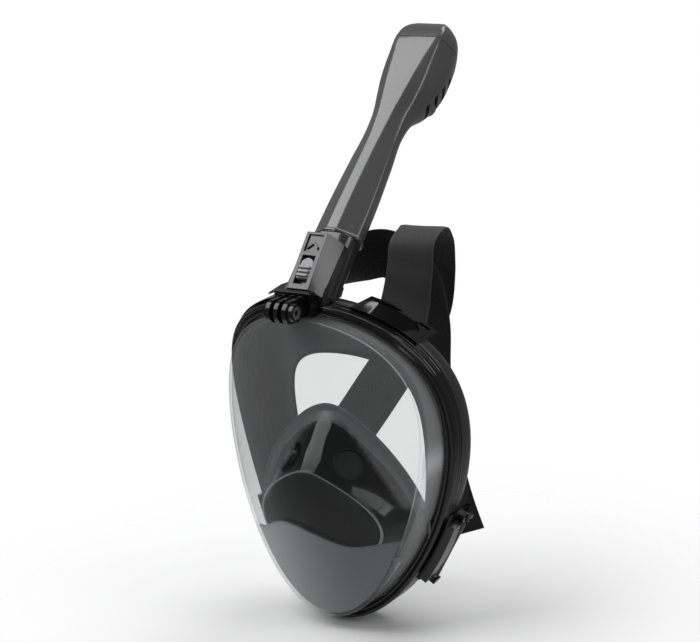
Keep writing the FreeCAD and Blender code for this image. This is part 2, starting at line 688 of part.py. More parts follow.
def camera_mount():
    prongs = []
    for i in (-1, 0, 1):
        middle = i * PRONG_PITCH
        prongs.append(prong(middle - PRONG_THICKNESS / 2, middle + PRONG_THICKNESS / 2))
    centre = PRONG_CENTRE
    side = PRONG_PITCH + PRONG_THICKNESS / 2
    boss_start = Vector(side - JOIN, centre.y, centre.z)
    boss = cylinder(NUT_BOSS_RADIUS, boss_start, boss_start + Vector(NUT_BOSS_LENGTH + JOIN, 0, 0))
    half = MOUNT_BASE_HALF_WIDTH
    base = box(-half, half, *MOUNT_BASE_Y, *MOUNT_BASE_Z)
    heel = box(-half, half, *MOUNT_HEEL_Y, MOUNT_BASE_Z[0], MOUNT_HEEL_TOP)
    lip = box(-MOUNT_LIP_HALF_WIDTH, MOUNT_LIP_HALF_WIDTH, *MOUNT_LIP_Y, *MOUNT_LIP_Z)
    shape = fused(prongs + [boss, base, heel, lip])
    across = Vector(BAND_WIDTH * PRONG_PITCH, 0, 0)
    shape = shape.cut(cylinder(PRONG_BORE, centre - across, centre + across))
    nut_room = nut_prism(NUT_FLAT + NUT_FIT, side + NUT_SINK, side + 2 * NUT_BOSS_LENGTH)
    return shape.cut(nut_room).cut(frame_seat())


def nut_prism(flat_radius, x0, x1):
    """Hexagonal prism along X round the prongs' bore."""
    radius = flat_radius / math.cos(math.pi / 6)
    points = []
    for i in range(6):
        angle = math.pi / 3 * i
        corner = Vector(x0, radius * math.cos(angle), radius * math.sin(angle))
        points.append(corner + Vector(0, PRONG_CENTRE.y, PRONG_CENTRE.z))
    return Part.Face(Part.makePolygon(points + points[:1])).extrude(Vector(x1 - x0, 0, 0))


def mount_nut():
    start = PRONG_PITCH + PRONG_THICKNESS / 2 + NUT_SINK + VALVE_FIT
    nut = nut_prism(NUT_FLAT, start, start + NUT_LENGTH)
    return nut.cut(cylinder(NUT_THREAD, PRONG_CENTRE, PRONG_CENTRE + Vector(2 * start, 0, 0)))


# ---------------------------------------------------------------- snorkel tube
def half_space(front):
    if front:
        return tube_box(-REACH, REACH, 0.0, REACH, -REACH, 2 * REACH)
    return tube_box(-REACH, REACH, -REACH, 0.0, -REACH, 2 * REACH)


def vent_slots():
    """Slots through each rear flank of the head, in one group."""
    slots = []
    for x0, x1 in ((VENT_INNER_X, REACH), (-REACH, -VENT_INNER_X)):
        for i in range(VENTS_PER_SIDE):
            along = VENT_START + VENT_PITCH * i
            back = VENT_BACK + VENT_STEP_BACK * i
            slots.append(tube_box(x0, x1, back - VENT_DEPTH, back, along, along + VENT_HEIGHT))
    return slots


def tube_shells():
    outer = tube_loft(TUBE_STATIONS)
    inner = tube_loft(TUBE_STATIONS, TUBE_WALL)
    shell = outer.cut(inner)
    for slot in vent_slots():
        shell = shell.cut(slot)
    return shell.common(half_space(True)), shell.common(half_space(False))


def tube_spigot():
    plug = oval_prism(SPIGOT_HALF_WIDTH, SPIGOT_HALF_DEPTH, -SPIGOT_LENGTH, COLLAR[1])
    collar = oval_prism(SOCKET_HALF_WIDTH, SOCKET_HALF_DEPTH, *COLLAR).common(head_inside(0.0))
    hollow_width, hollow_depth = SPIGOT_HALF_WIDTH - SPIGOT_WALL, SPIGOT_HALF_DEPTH - SPIGOT_WALL
    hollow = oval_prism(hollow_width, hollow_depth, -2 * SPIGOT_LENGTH, SPIGOT_LENGTH)
    return plug.fuse(collar).removeSplitter().cut(hollow)


def head_inside(clearance=HEAD_INSIDE):
    """The tube's inside, kept a little clear of its wall."""
    return tube_loft(TUBE_STATIONS, TUBE_WALL + clearance)


def tube_divider():
    """Wall that keeps the air breathed in apart from the air breathed out."""
    plate = tube_box(-REACH, REACH, -DIVIDER_THICKNESS / 2, DIVIDER_THICKNESS / 2, *DIVIDER)
    return plate.common(head_inside())


def top_cap():
    outer = tube_loft(CAP_STATIONS)
    inner = tube_loft([(s - JOIN, w, f, b) for s, w, f, b in CAP_STATIONS[:3]], TUBE_WALL)
    return outer.cut(inner)


def head_rear_panel():
    """Glossy dome panel over the rear of the head, above the vents."""
    proud = REAR_PANEL_PROUD
    outer = tube_loft([(s, w + proud, f, b + proud) for s, w, f, b in TUBE_STATIONS[-3:]])
    half = REAR_PANEL_HALF_WIDTH
    return outer.common(tube_box(-half, half, -REACH, -half, *REAR_PANEL)).cut(tube_loft(TUBE_STATIONS))


def float_guide():
    """Plate across the head above the float, whose hole the float's seal closes."""
    seat = tube_box(-REACH, REACH, -REACH, REACH, *GUIDE).common(head_inside())
    return seat.cut(float_cylinder(GUIDE_HOLE, *GUIDE))


def float_cylinder(radius, start, end):
    return cylinder(radius, tube_point(0, FLOAT_BACK, start), tube_point(0, FLOAT_BACK, end))


def float_floor():
    floor = tube_box(-REACH, REACH, -REACH, REACH, *FLOOR).common(head_inside())
    for x, n in FLOOR_HOLES:
        floor = floor.cut(cylinder(FLOOR_HOLE, tube_point(x, n, FLOOR[0]), tube_point(x, n, FLOOR[1])))
    return floor


# ---------------------------------------------------------------- straps
def strap_arm():
    """Curved plate that carries the upper strap back from the frame, with the strap's slot near its end."""
    first, last = ARM_ANGLES
    plate = band(PLATE_INNER, PLATE_OUTER, PLATE_FRONT, ARM_BACK).common(wedge(first, last))
    slot = band(SLOT_INNER, SLOT_OUTER, *ARM_SLOT)
    return plate.cut(slot.common(wedge(first + ARM_SLOT_MARGIN, last - ARM_SLOT_MARGIN)))


def pin_line():
    """Ends of the clip's hinge pin, in the middles of the bracket's two ears."""
    ends = []
    for angle in (BRACKET_ANGLES[0] + EAR_ARC / 2, BRACKET_ANGLES[1] - EAR_ARC / 2):
        x, z = ring_point(angle, PIN_OFFSET)
        base_x, base_z = ring_point(angle)
        ends.append(Vector(x, saddle_y(base_x, base_z) + PIN_DEPTH, z))
    return ends


def lower_bracket():
    """Plate on the frame's flank with a strap slot, and two ears for the clip's pin."""
    first, last = BRACKET_ANGLES
    plate = band(PLATE_INNER, PLATE_OUTER, PLATE_FRONT, BRACKET_BACK).common(wedge(first, last))
    slot = band(SLOT_INNER, SLOT_OUTER, *BRACKET_SLOT)
    ears = band(PLATE_INNER, PIN_OFFSET + EAR_REACH, PIN_DEPTH - EAR_REACH, PIN_DEPTH + EAR_REACH)
    ears = [ears.common(wedge(a, a + EAR_ARC)) for a in (first, last - EAR_ARC)]
    ears = fused(ears + [plate])
    start, end = pin_line()
    reach = (end - start).normalize() * 2 * EAR_REACH
    ears = ears.cut(cylinder(PIN_RADIUS, start - reach, end + reach))
    return ears.cut(slot.common(wedge(first + BRACKET_SLOT_MARGIN, last - BRACKET_SLOT_MARGIN)))


def clip_pin():
    start, end = pin_line()
    reach = (end - start).normalize() * PIN_OVERHANG
    return cylinder(PIN_RADIUS, start - reach, end + reach)


def strap_clip():
    """Lever that swings out on its pin: a curved plate and the knuckle round the pin."""
    plate = band(CLIP_INNER, CLIP_OUTER, CLIP_FRONT, PIN_DEPTH + PIN_RADIUS).common(wedge(*CLIP_ANGLES))
    start, end = pin_line()
    unit = (end - start).normalize()
    outward = Vector(-unit.z, 0, unit.x)
    backward = outward.cross(unit).normalize()
    rear = start + backward * CLIP_REAR
    plate = plate.cut(cylinder(CLIP_SWING_ROOM, rear, rear + backward * CLIP_SWING_ROOM))
    inset = unit * KNUCKLE_INSET
    knuckle = cylinder(KNUCKLE_RADIUS, start + inset, end - inset)
    bore = cylinder(PIN_RADIUS + PIN_CLEARANCE, start - inset, end + inset)
    return fused([plate, knuckle]).cut(bore)


def strap_band(route):
    """Flat band whose four long edges are smooth curves through the corners of the route's stations."""
    centres = [Vector(*centre) for centre, across in route]
    travelled = [0.0]
    for before, after in zip(centres, centres[1:]):
        travelled.append(travelled[-1] + (after - before).Length)
    rails = [[], [], [], []]
    for i, (centre, across) in enumerate(route):
        before = centres[max(i - 1, 0)]
        after = centres[min(i + 1, len(centres) - 1)]
        tangent = (after - before).normalize()
        across = Vector(*across)
        across = (across - tangent * across.dot(tangent)).normalize()
        normal = tangent.cross(across) * (STRAP_THICKNESS / 2)
        side = across * (STRAP_WIDTH / 2)
        middle = centres[i]
        corners = [middle - side - normal, middle + side - normal]
        corners += [middle + side + normal, middle - side + normal]
        for rail, corner in zip(rails, corners):
            rail.append(corner)
    curves = []
    for rail in rails:
        curve = Part.BSplineCurve()
        curve.interpolate(Points=rail, Parameters=travelled)
        curves.append(curve)
    sections = []
    for i in range(STRAP_SECTIONS + 1):
        corners = [curve.value(travelled[-1] * i / STRAP_SECTIONS) for curve in curves]
        sections.append(Part.makePolygon(corners + corners[:1]))
    return Part.makeLoft(sections, True, True)


PARTS = {}


def build():
    PARTS["front_frame"] = front_frame()
    PARTS["rear_frame"] = rear_frame()
    PARTS["visor_lens"] = visor_lens()
    PARTS["face_skirt"] = face_skirt()
    PARTS["orinasal_pocket"] = orinasal_pocket()
    PARTS["drain_valve_seat"] = valve_seat(Vector(*DRAIN_CENTRE), drain_axis())
    PARTS["drain_valve_disc"] = valve_disc(Vector(*DRAIN_CENTRE), drain_axis())
    PARTS["snorkel_socket"] = snorkel_socket()
    PARTS["release_latch"] = release_latch()
    PARTS["latch_spring"] = latch_spring()
    PARTS["socket_gasket"] = socket_gasket()
    PARTS["camera_mount"] = camera_mount()
    PARTS["mount_nut"] = mount_nut()
    front, rear = tube_shells()
    PARTS["tube_front_shell"] = front
    PARTS["tube_rear_shell"] = rear
    PARTS["tube_spigot"] = tube_spigot()
    PARTS["tube_divider"] = tube_divider()
    PARTS["top_cap"] = top_cap()
    PARTS["head_rear_panel"] = head_rear_panel()
    PARTS["float_guide"] = float_guide()
    PARTS["float_floor"] = float_floor()
    PARTS["float"] = float_cylinder(FLOAT_RADIUS, FLOAT_START, FLOAT_END)
    PARTS["float_seal"] = float_cylinder(FLOAT_SEAL_RADIUS, FLOAT_END, FLOAT_END + FLOAT_SEAL_THICKNESS)
    pairs = {
        "inhale_valve_seat_": valve_seat(valve_centre(), valve_axis()),
        "inhale_valve_disc_": valve_disc(valve_centre(), valve_axis()),
        "strap_arm_": strap_arm(),
        "lower_bracket_": lower_bracket(),
        "strap_clip_": strap_clip(),
        "clip_pin_": clip_pin(),
    }
    for name, shape in pairs.items():
        PARTS[name + "left"] = shape
        PARTS[name + "right"] = mirror(shape)
    PARTS["head_strap_left"] = strap_band(LEFT_STRAP)
    PARTS["head_strap_right"] = strap_band(RIGHT_STRAP)


build()
os.makedirs("parts", exist_ok=True)
for name, shape in PARTS.items():
    shape.exportStep("parts/" + name + ".step")
    print(name, shape.isValid(), len(shape.Solids), round(shape.Volume, 1))
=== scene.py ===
"""Full face snorkel: the CAD frame's hard parts with finished materials, and finely shaped lens, frame,
skirt, breathing pocket, tube and straps in place of the plain CAD solids. Shapes are given in millimetres.
"""
import math

import bmesh
import bpy
import numpy as np
from mathutils import Matrix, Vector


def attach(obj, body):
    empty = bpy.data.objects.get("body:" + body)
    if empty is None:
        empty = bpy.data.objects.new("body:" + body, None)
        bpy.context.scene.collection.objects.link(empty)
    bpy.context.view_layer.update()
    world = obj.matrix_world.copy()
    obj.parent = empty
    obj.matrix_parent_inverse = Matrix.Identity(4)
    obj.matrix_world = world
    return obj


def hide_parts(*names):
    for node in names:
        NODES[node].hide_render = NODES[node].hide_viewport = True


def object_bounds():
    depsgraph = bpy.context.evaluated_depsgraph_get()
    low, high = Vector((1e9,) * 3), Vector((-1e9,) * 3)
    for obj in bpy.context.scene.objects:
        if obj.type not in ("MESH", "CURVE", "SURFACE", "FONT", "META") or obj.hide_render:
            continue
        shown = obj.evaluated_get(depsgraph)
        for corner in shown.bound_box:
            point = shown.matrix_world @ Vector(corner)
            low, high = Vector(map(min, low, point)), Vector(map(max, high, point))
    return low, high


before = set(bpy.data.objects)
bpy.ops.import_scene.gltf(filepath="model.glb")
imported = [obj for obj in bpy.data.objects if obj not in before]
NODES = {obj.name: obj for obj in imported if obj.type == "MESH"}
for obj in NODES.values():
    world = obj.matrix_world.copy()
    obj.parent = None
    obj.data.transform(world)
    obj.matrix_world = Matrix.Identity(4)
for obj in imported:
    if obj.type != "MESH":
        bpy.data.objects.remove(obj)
cad_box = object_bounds()
MM = 0.001

scene = bpy.context.scene
scene.view_settings.view_transform = "Standard"

# ---------------------------------------------------------------- shared outline (the CAD's own formulas)
RING_HALF_WIDTH, RING_HALF_HEIGHT = 85.5, 114.0
RING_EGG, RING_SQUARE, RING_DROP = 0.107, 0.024, 0.005
RING_STEPS = 288
ANGLES = np.arange(RING_STEPS) * 2 * math.pi / RING_STEPS


def ring(offset, t=ANGLES):
    """x and z on the frame's outline, from the top towards +X, moved outward by offset."""
    x = RING_HALF_WIDTH * (np.sin(t) + RING_EGG * np.sin(2 * t) + RING_SQUARE * np.sin(3 * t))
    z = RING_HALF_HEIGHT * (np.cos(t) - RING_DROP * (np.cos(2 * t) - 1))
    dx = RING_HALF_WIDTH * (np.cos(t) + 2 * RING_EGG * np.cos(2 * t) + 3 * RING_SQUARE * np.cos(3 * t))
    dz = RING_HALF_HEIGHT * (-np.sin(t) + 2 * RING_DROP * np.sin(2 * t))
    size = np.hypot(dx, dz)
    return x - offset * dz / size, z + offset * dx / size


def saddle(x, z):
    return 19.9 + 0.00161 * x * x - 0.00148 * (z + 31.0) ** 2


def lens_front(x, z):
    return -36.0 + 0.0050 * x * x - 0.06 * z + 0.0010 * z * z


def squeeze(y):
    """Narrowing of the lens's side walls towards the front."""
    return 1.0 - 0.1 * (22.0 - y) / RING_HALF_WIDTH


# ---------------------------------------------------------------- mesh helpers
def mesh_piece(name, points, faces, material, sharp=35.0):
    mesh = bpy.data.meshes.new(name)
    mesh.from_pydata((np.asarray(points) * MM).tolist(), [], faces)
    mesh.validate()
    mesh.update()
    mesh.shade_smooth()
    mesh.set_sharp_from_angle(angle=math.radians(sharp))
    obj = bpy.data.objects.new(name, mesh)
    scene.collection.objects.link(obj)
    mesh.materials.append(material)
    return obj


def grid_faces(rows, columns, close_rows=True, close_columns=True):
    faces = []
    for i in range(rows if close_rows else rows - 1):
        for j in range(columns if close_columns else columns - 1):
            a, b = i, (i + 1) % rows
            c, d = j, (j + 1) % columns
            faces.append((a * columns + c, b * columns + c, b * columns + d, a * columns + d))
    return faces


def fix_normals(obj):
    """Outward normals on a closed piece."""
    work = bmesh.new()
    work.from_mesh(obj.data)
    bmesh.ops.recalc_face_normals(work, faces=work.faces)
    work.to_mesh(obj.data)
    work.free()
    return obj


def grid_piece(name, grid, material, close_rows=True, close_columns=True, sharp=35.0):
    """A piece from a grid of points: rows run along it, columns go round it."""
    rows, columns = grid.shape[:2]
    faces = grid_faces(rows, columns, close_rows, close_columns)
    if not close_rows:
        faces.append(tuple(range(columns))[::-1])
        faces.append(tuple((rows - 1) * columns + j for j in range(columns)))
    return fix_normals(mesh_piece(name, grid.reshape(-1, 3), faces, material, sharp))


def swept_ring(name, profile, material, sharp=35.0):
    """A closed profile of (offset, depth) pairs swept round the outline on the saddle."""
    columns = []
    for offset, depth in profile:
        x, z = ring(offset)
        columns.append(np.stack([x, saddle(x, z) + depth, z], 1))
    return grid_piece(name, np.stack(columns, 1), material, sharp=sharp)


def bezier(a, b, c, count):
    """count points on the quadratic curve from a to c that leans to b, ends included."""
    s = np.linspace(0, 1, count)
    return [(1 - k) ** 2 * a + 2 * k * (1 - k) * b + k * k * c for k in s]


def smooth_rows(positions, rows, at):
    """Values of a table at any position, by a smooth curve through its rows."""
    positions, rows = np.asarray(positions, float), np.asarray(rows, float)
    slope = np.gradient(rows, positions, axis=0)
    i = np.clip(np.searchsorted(positions, at) - 1, 0, len(positions) - 2)
    step = positions[i + 1] - positions[i]
    s = (at - positions[i]) / step
    h00, h10 = 2 * s ** 3 - 3 * s ** 2 + 1, s ** 3 - 2 * s ** 2 + s
    h01, h11 = -2 * s ** 3 + 3 * s ** 2, s ** 3 - s ** 2
    return h00 * rows[i] + h10 * step * slope[i] + h01 * rows[i + 1] + h11 * step * slope[i + 1]


# ---------------------------------------------------------------- materials
def new_material(name):
    material = bpy.data.materials.new(name)
    material.use_nodes = True
    nodes = material.node_tree.nodes
    return material, nodes, material.node_tree.links, nodes["Principled BSDF"]


def moulded(name, dark, light, roughness, grain_scale, bump, coat=0.0, edge=0.0, spread=0.06, shine=0.5):
    """Moulded plastic or silicone: faint cloudy colour, uneven gloss, fine grain and softened edges."""
    material, nodes, links, shader = new_material(name)
    place = nodes.new("ShaderNodeTexCoord")
    cloud = nodes.new("ShaderNodeTexNoise")
    cloud.inputs["Scale"].default_value = 28.0
    cloud.inputs["Detail"].default_value = 4.0
    links.new(place.outputs["Object"], cloud.inputs["Vector"])
    colour = nodes.new("ShaderNodeMix")
    colour.data_type = "RGBA"
    colour.inputs[6].default_value = (*dark, 1)
    colour.inputs[7].default_value = (*light, 1)
    links.new(cloud.outputs["Fac"], colour.inputs[0])
    links.new(colour.outputs[2], shader.inputs["Base Color"])
    gloss = nodes.new("ShaderNodeMapRange")
    gloss.inputs["To Min"].default_value = max(roughness - spread, 0.02)
    gloss.inputs["To Max"].default_value = roughness + spread
    links.new(cloud.outputs["Fac"], gloss.inputs["Value"])
    links.new(gloss.outputs["Result"], shader.inputs["Roughness"])
    grain = nodes.new("ShaderNodeTexNoise")
    grain.inputs["Scale"].default_value = grain_scale
    grain.inputs["Detail"].default_value = 2.0
    links.new(place.outputs["Object"], grain.inputs["Vector"])
    relief = nodes.new("ShaderNodeBump")
    relief.inputs["Strength"].default_value = bump
    relief.inputs["Distance"].default_value = 0.00004
    links.new(grain.outputs["Fac"], relief.inputs["Height"])
    if edge:
        soft = nodes.new("ShaderNodeBevel")
        soft.inputs["Radius"].default_value = edge * MM
        links.new(soft.outputs["Normal"], relief.inputs["Normal"])
    links.new(relief.outputs["Normal"], shader.inputs["Normal"])
    shader.inputs["Specular IOR Level"].default_value = shine
    shader.inputs["Coat Weight"].default_value = coat
    shader.inputs["Coat Roughness"].default_value = 0.04
    return material


def woven(name, dark, light, ribs, edge_light):
    """Elastic webbing: ribs along the strap, a fine cross weave, and a slightly lighter selvedge."""
    material, nodes, links, shader = new_material(name)
    across = nodes.new("ShaderNodeAttribute")
    across.attribute_name = "across"
    along = nodes.new("ShaderNodeAttribute")
    along.attribute_name = "along"

    def wave(source, scale):
        times = nodes.new("ShaderNodeMath")
        times.operation = "MULTIPLY"
        times.inputs[1].default_value = scale
        links.new(source.outputs["Fac"], times.inputs[0])
        sine = nodes.new("ShaderNodeMath")
        sine.operation = "SINE"
        links.new(times.outputs[0], sine.inputs[0])
        return sine.outputs[0]

    weave = nodes.new("ShaderNodeMath")
    weave.operation = "MULTIPLY"
    links.new(wave(across, ribs), weave.inputs[0])
    links.new(wave(along, 2600.0), weave.inputs[1])
    level = nodes.new("ShaderNodeMapRange")
    level.inputs["From Min"].default_value = -1.0
    links.new(weave.outputs[0], level.inputs["Value"])
    colour = nodes.new("ShaderNodeMix")
    colour.data_type = "RGBA"
    colour.inputs[6].default_value = (*dark, 1)
    colour.inputs[7].default_value = (*light, 1)
    links.new(level.outputs["Result"], colour.inputs[0])
    rim = nodes.new("ShaderNodeMapRange")
    rim.inputs["From Min"].default_value = 0.93
    rim.inputs["From Max"].default_value = 0.99
    size = nodes.new("ShaderNodeMath")
    size.operation = "ABSOLUTE"
    links.new(across.outputs["Fac"], size.inputs[0])
    links.new(size.outputs[0], rim.inputs["Value"])
    final = nodes.new("ShaderNodeMix")
    final.data_type = "RGBA"
    final.inputs[7].default_value = (*edge_light, 1)
    links.new(rim.outputs["Result"], final.inputs[0])
    links.new(colour.outputs[2], final.inputs[6])
    links.new(final.outputs[2], shader.inputs["Base Color"])
    relief = nodes.new("ShaderNodeBump")
    relief.inputs["Strength"].default_value = 0.35
    relief.inputs["Distance"].default_value = 0.0003
    links.new(level.outputs["Result"], relief.inputs["Height"])
    links.new(relief.outputs["Normal"], shader.inputs["Normal"])
    shader.inputs["Roughness"].default_value = 0.72
    shader.inputs["Sheen Weight"].default_value = 0.15
    return material


def clear_plastic(name):
    """Tinted polycarbonate: see-through, glossy, with a haziness that varies over the surface, most of it
    painted sheen, painted light and painted highlights.
    """
    material, nodes, links, shader = new_material(name)
    nodes.remove(shader)
    output = nodes["Material Output"]
    through = nodes.new("ShaderNodeBsdfTransparent")
    through.inputs["Color"].default_value = (0.90, 0.905, 0.905, 1)
    gloss = nodes.new("ShaderNodeBsdfGlossy")
    gloss.inputs["Roughness"].default_value = 0.015
    facing = nodes.new("ShaderNodeLayerWeight")
    facing.inputs["Blend"].default_value = 0.5
    steep = nodes.new("ShaderNodeMath")
    steep.operation = "POWER"
    steep.inputs[1].default_value = 5.0
    links.new(facing.outputs["Facing"], steep.inputs[0])
    fresnel = nodes.new("ShaderNodeMapRange")
    fresnel.inputs["To Min"].default_value = 0.012
    links.new(steep.outputs[0], fresnel.inputs["Value"])
    # white diffuse layer mixed in by the lens's per-vertex haziness: a little real haziness, mostly painted
    # sheen, painted light and painted highlights
    haze_and_sheen_layer = nodes.new("ShaderNodeBsdfDiffuse")
    haze_and_sheen_layer.inputs["Color"].default_value = (0.92, 0.92, 0.93, 1)
    haze_and_painted_light = nodes.new("ShaderNodeAttribute")
    haze_and_painted_light.attribute_name = "haze_and_painted_light"
    haze_and_sheen_mix = nodes.new("ShaderNodeMixShader")
    links.new(haze_and_painted_light.outputs["Fac"], haze_and_sheen_mix.inputs[0])
    links.new(through.outputs[0], haze_and_sheen_mix.inputs[1])
    links.new(haze_and_sheen_layer.outputs[0], haze_and_sheen_mix.inputs[2])
    whole = nodes.new("ShaderNodeMixShader")
    links.new(fresnel.outputs[0], whole.inputs[0])
    links.new(haze_and_sheen_mix.outputs[0], whole.inputs[1])
    links.new(gloss.outputs[0], whole.inputs[2])
    links.new(whole.outputs[0], output.inputs["Surface"])
    return material


def grey(level):
    return (level, level, level * 1.03)


FRAME_BLACK = moulded(
    "frame_gloss_black", grey(0.003), grey(0.005), 0.10, 900.0, 0.02,
    coat=0.15, edge=0.5, spread=0.03, shine=0.35,
)
SKIRT = moulded("skirt_silicone", grey(0.022), grey(0.030), 0.30, 1500.0, 0.02)
POCKET = moulded(
    "pocket_silicone", grey(0.004), grey(0.007), 0.08, 1200.0, 0.01, coat=0.2, spread=0.03, shine=0.35,
)
PANEL = moulded("pocket_panel", grey(0.003), grey(0.006), 0.12, 1200.0, 0.01, spread=0.03, shine=0.2)
CHIN = moulded("chin_silicone", grey(0.085), grey(0.110), 0.30, 1200.0, 0.01)
SMOKE = moulded("smoke_plastic", grey(0.060), grey(0.070), 0.28, 2200.0, 0.04, coat=0.5, edge=0.7)
# lighter grey on the pocket's rolled rim: a painted sheen standing in for its highlights
FLANGE_SHEEN = moulded("flange_silicone_painted_sheen", grey(0.075), grey(0.095), 0.35, 1200.0, 0.01)
# light grey on the pocket's front ridge: a painted highlight line along that edge
POCKET_RIM_HIGHLIGHT = moulded("pocket_rim_painted_highlight", grey(0.30), grey(0.36), 0.20, 1200.0, 0.01, coat=0.3)
SOCKET = moulded("socket_plastic", grey(0.020), grey(0.030), 0.20, 2200.0, 0.05, coat=0.2, edge=0.6)
LATCH = moulded("latch_plastic", grey(0.26), grey(0.32), 0.40, 2200.0, 0.1, edge=0.4)
CLIP = moulded("clip_plastic", grey(0.018), grey(0.028), 0.22, 1600.0, 0.05, edge=0.6)
VALVE_PLASTIC = moulded("valve_plastic", grey(0.012), grey(0.018), 0.15, 1800.0, 0.05, edge=0.3)
VALVE_SILICONE = moulded("valve_silicone", grey(0.020), grey(0.032), 0.2, 1400.0, 0.05)
FLOAT_ORANGE = moulded("float_orange", (0.55, 0.12, 0.02), (0.65, 0.17, 0.03), 0.5, 2000.0, 0.15)
GASKET = moulded("gasket_silicone", grey(0.02), grey(0.03), 0.5, 1500.0, 0.08)
STRAP = woven("elastic_webbing", grey(0.006), grey(0.018), 60.0, grey(0.03))
LENS = clear_plastic("clear_lens")


def steel(name, dark, light):
    material = moulded(name, grey(dark), grey(light), 0.28, 1200.0, 0.08, edge=0.2)
    material.node_tree.nodes["Principled BSDF"].inputs["Metallic"].default_value = 1.0
    return material


STEEL = steel("nut_steel", 0.50, 0.58)
SPRING_STEEL = steel("spring_steel", 0.10, 0.14)


# ---------------------------------------------------------------- frame
BEZEL = (
    (-2.0, -6.05), (-2.0, -8.0), (-6.3, -8.0), (-6.6, -8.4), (-6.6, -11.4), (-6.3, -12.3), (-5.6, -12.8),
    (-4.7, -12.9), (-4.2, -12.6), (-3.9, -12.0), (-3.4, -11.6), (-2.9, -12.0), (-2.6, -12.6), (-2.1, -12.8),
    (-1.2, -12.5), (-0.4, -11.7), (0.0, -10.6), (0.05, -9.6), (-0.3, -9.3), (-0.3, -8.9), (0.05, -8.6),
    (0.1, -7.0), (-0.1, -6.3), (-0.5, -6.05),
)
REAR_RING = (
    (-2.0, -5.95), (-2.0, -2.6), (-6.3, -2.6), (-6.3, -0.02), (-0.7, -0.02), (-0.1, -0.4), (0.1, -1.2),
    (0.1, -2.8), (-0.25, -3.1), (-0.25, -3.5), (0.1, -3.8), (0.1, -5.2), (-0.1, -5.7), (-0.5, -5.95),
)
bezel = swept_ring("frame_bezel", BEZEL, FRAME_BLACK, sharp=50.0)
rear_ring = swept_ring("frame_rear_ring", REAR_RING, FRAME_BLACK, sharp=50.0)

# ---------------------------------------------------------------- skirt
OPENING_HALF_WIDTH, OPENING_TOP, OPENING_BOTTOM = 53.0, 71.0, -92.0
# (offset, depth) pairs from the bead to the back edge, and back again inside
SKIRT_OUTSIDE = (
    (-6.8, -3.0), (-6.6, 0.15), (-1.8, 0.2), (-0.9, 0.5), (-0.4, 1.4), (-0.1, 3.0),
    (0.2, 5.0), (0.2, 7.0), (-0.1, 9.0), (-0.7, 10.8), (-1.8, 12.4), (-3.4, 13.6),
)
SKIRT_INSIDE = (
    (-4.4, 11.2), (-3.0, 9.6), (-2.2, 7.0), (-2.2, 4.0), (-2.6, 2.2), (-8.4, 2.0), (-8.4, -3.0),
)
# (share of the way to the opening, depth)
CUFF = (
    (0.0, 14.2), (0.12, 14.3), (0.3, 14.1), (0.5, 13.9), (0.7, 13.8), (0.88, 14.2), (0.97, 14.8), (1.0, 14.4),
)
CUFF_THICKNESS = 1.8


def opening(grow):
    x = (OPENING_HALF_WIDTH + grow) * (np.sin(ANGLES) + 0.05 * np.sin(2 * ANGLES) + 0.07 * np.sin(3 * ANGLES))
    middle = (OPENING_TOP + OPENING_BOTTOM) / 2
    z = middle + ((OPENING_TOP - OPENING_BOTTOM) / 2 + grow) * (np.cos(ANGLES) - 0.05 * np.cos(3 * ANGLES))
    return x, z


def skirt_column(offset, depth):
    x, z = ring(offset)
    return np.stack([x, saddle(x, z) + depth, z], 1)


def cuff_column(share, depth):
    """Between the skirt's back edge at share 0 and the face opening's edge at share 1."""
    x0, z0 = ring(-6.0)
    x1, z1 = opening(0.0)
    x, z = x0 + (x1 - x0) * share, z0 + (z1 - z0) * share
    return np.stack([x, saddle(x, z) + depth, z], 1)


def face_skirt():
    columns = []
    for offset, depth in SKIRT_OUTSIDE:
        columns.append(skirt_column(offset, depth))
    for share, depth in CUFF:
        columns.append(cuff_column(share, depth))
    for share, depth in reversed(CUFF[:-1]):
        columns.append(cuff_column(share, depth - CUFF_THICKNESS))
    for offset, depth in SKIRT_INSIDE:
        columns.append(skirt_column(offset, depth))
    return grid_piece("face_skirt_shell", np.stack(columns, 1), SKIRT, sharp=60.0)


skirt = face_skirt()

# ---------------------------------------------------------------- chin shield's upper edge
CHIN_HALF_WIDTH = 55.3
CHIN_MARKS = (-55.3, -45, -34, -26, -14, 2, 25, 45, 55.3)
CHIN_HEIGHTS = (-51, -48, -42, -39.5, -40, -44, -50, -47.5, -45.7)


def chin_top(x):
    """Height of the chin shield's wavy upper edge at x."""
    return smooth_rows(CHIN_MARKS, CHIN_HEIGHTS, np.clip(x, -CHIN_HALF_WIDTH + 0.01, CHIN_HALF_WIDTH - 0.01))


# ---------------------------------------------------------------- lens
LENS_CENTRE = (0.0, -4.0)
WALL_ROWS, FRONT_ROWS = 14, 34
LENS_OUTER, LENS_INNER, LENS_THICKNESS = -7.0, -9.2, 2.2
# upper limit of the clear area in front of the breathing pocket, above which the lens carries a painted sheen
ARCH_MARKS = (-37, -25, -15, -5, 3, 14, 25, 34, 42, 52, 62)
ARCH_HEIGHTS = (-25, -8, 8, 22, 33, 40, 42, 36, 22, 2, -21)


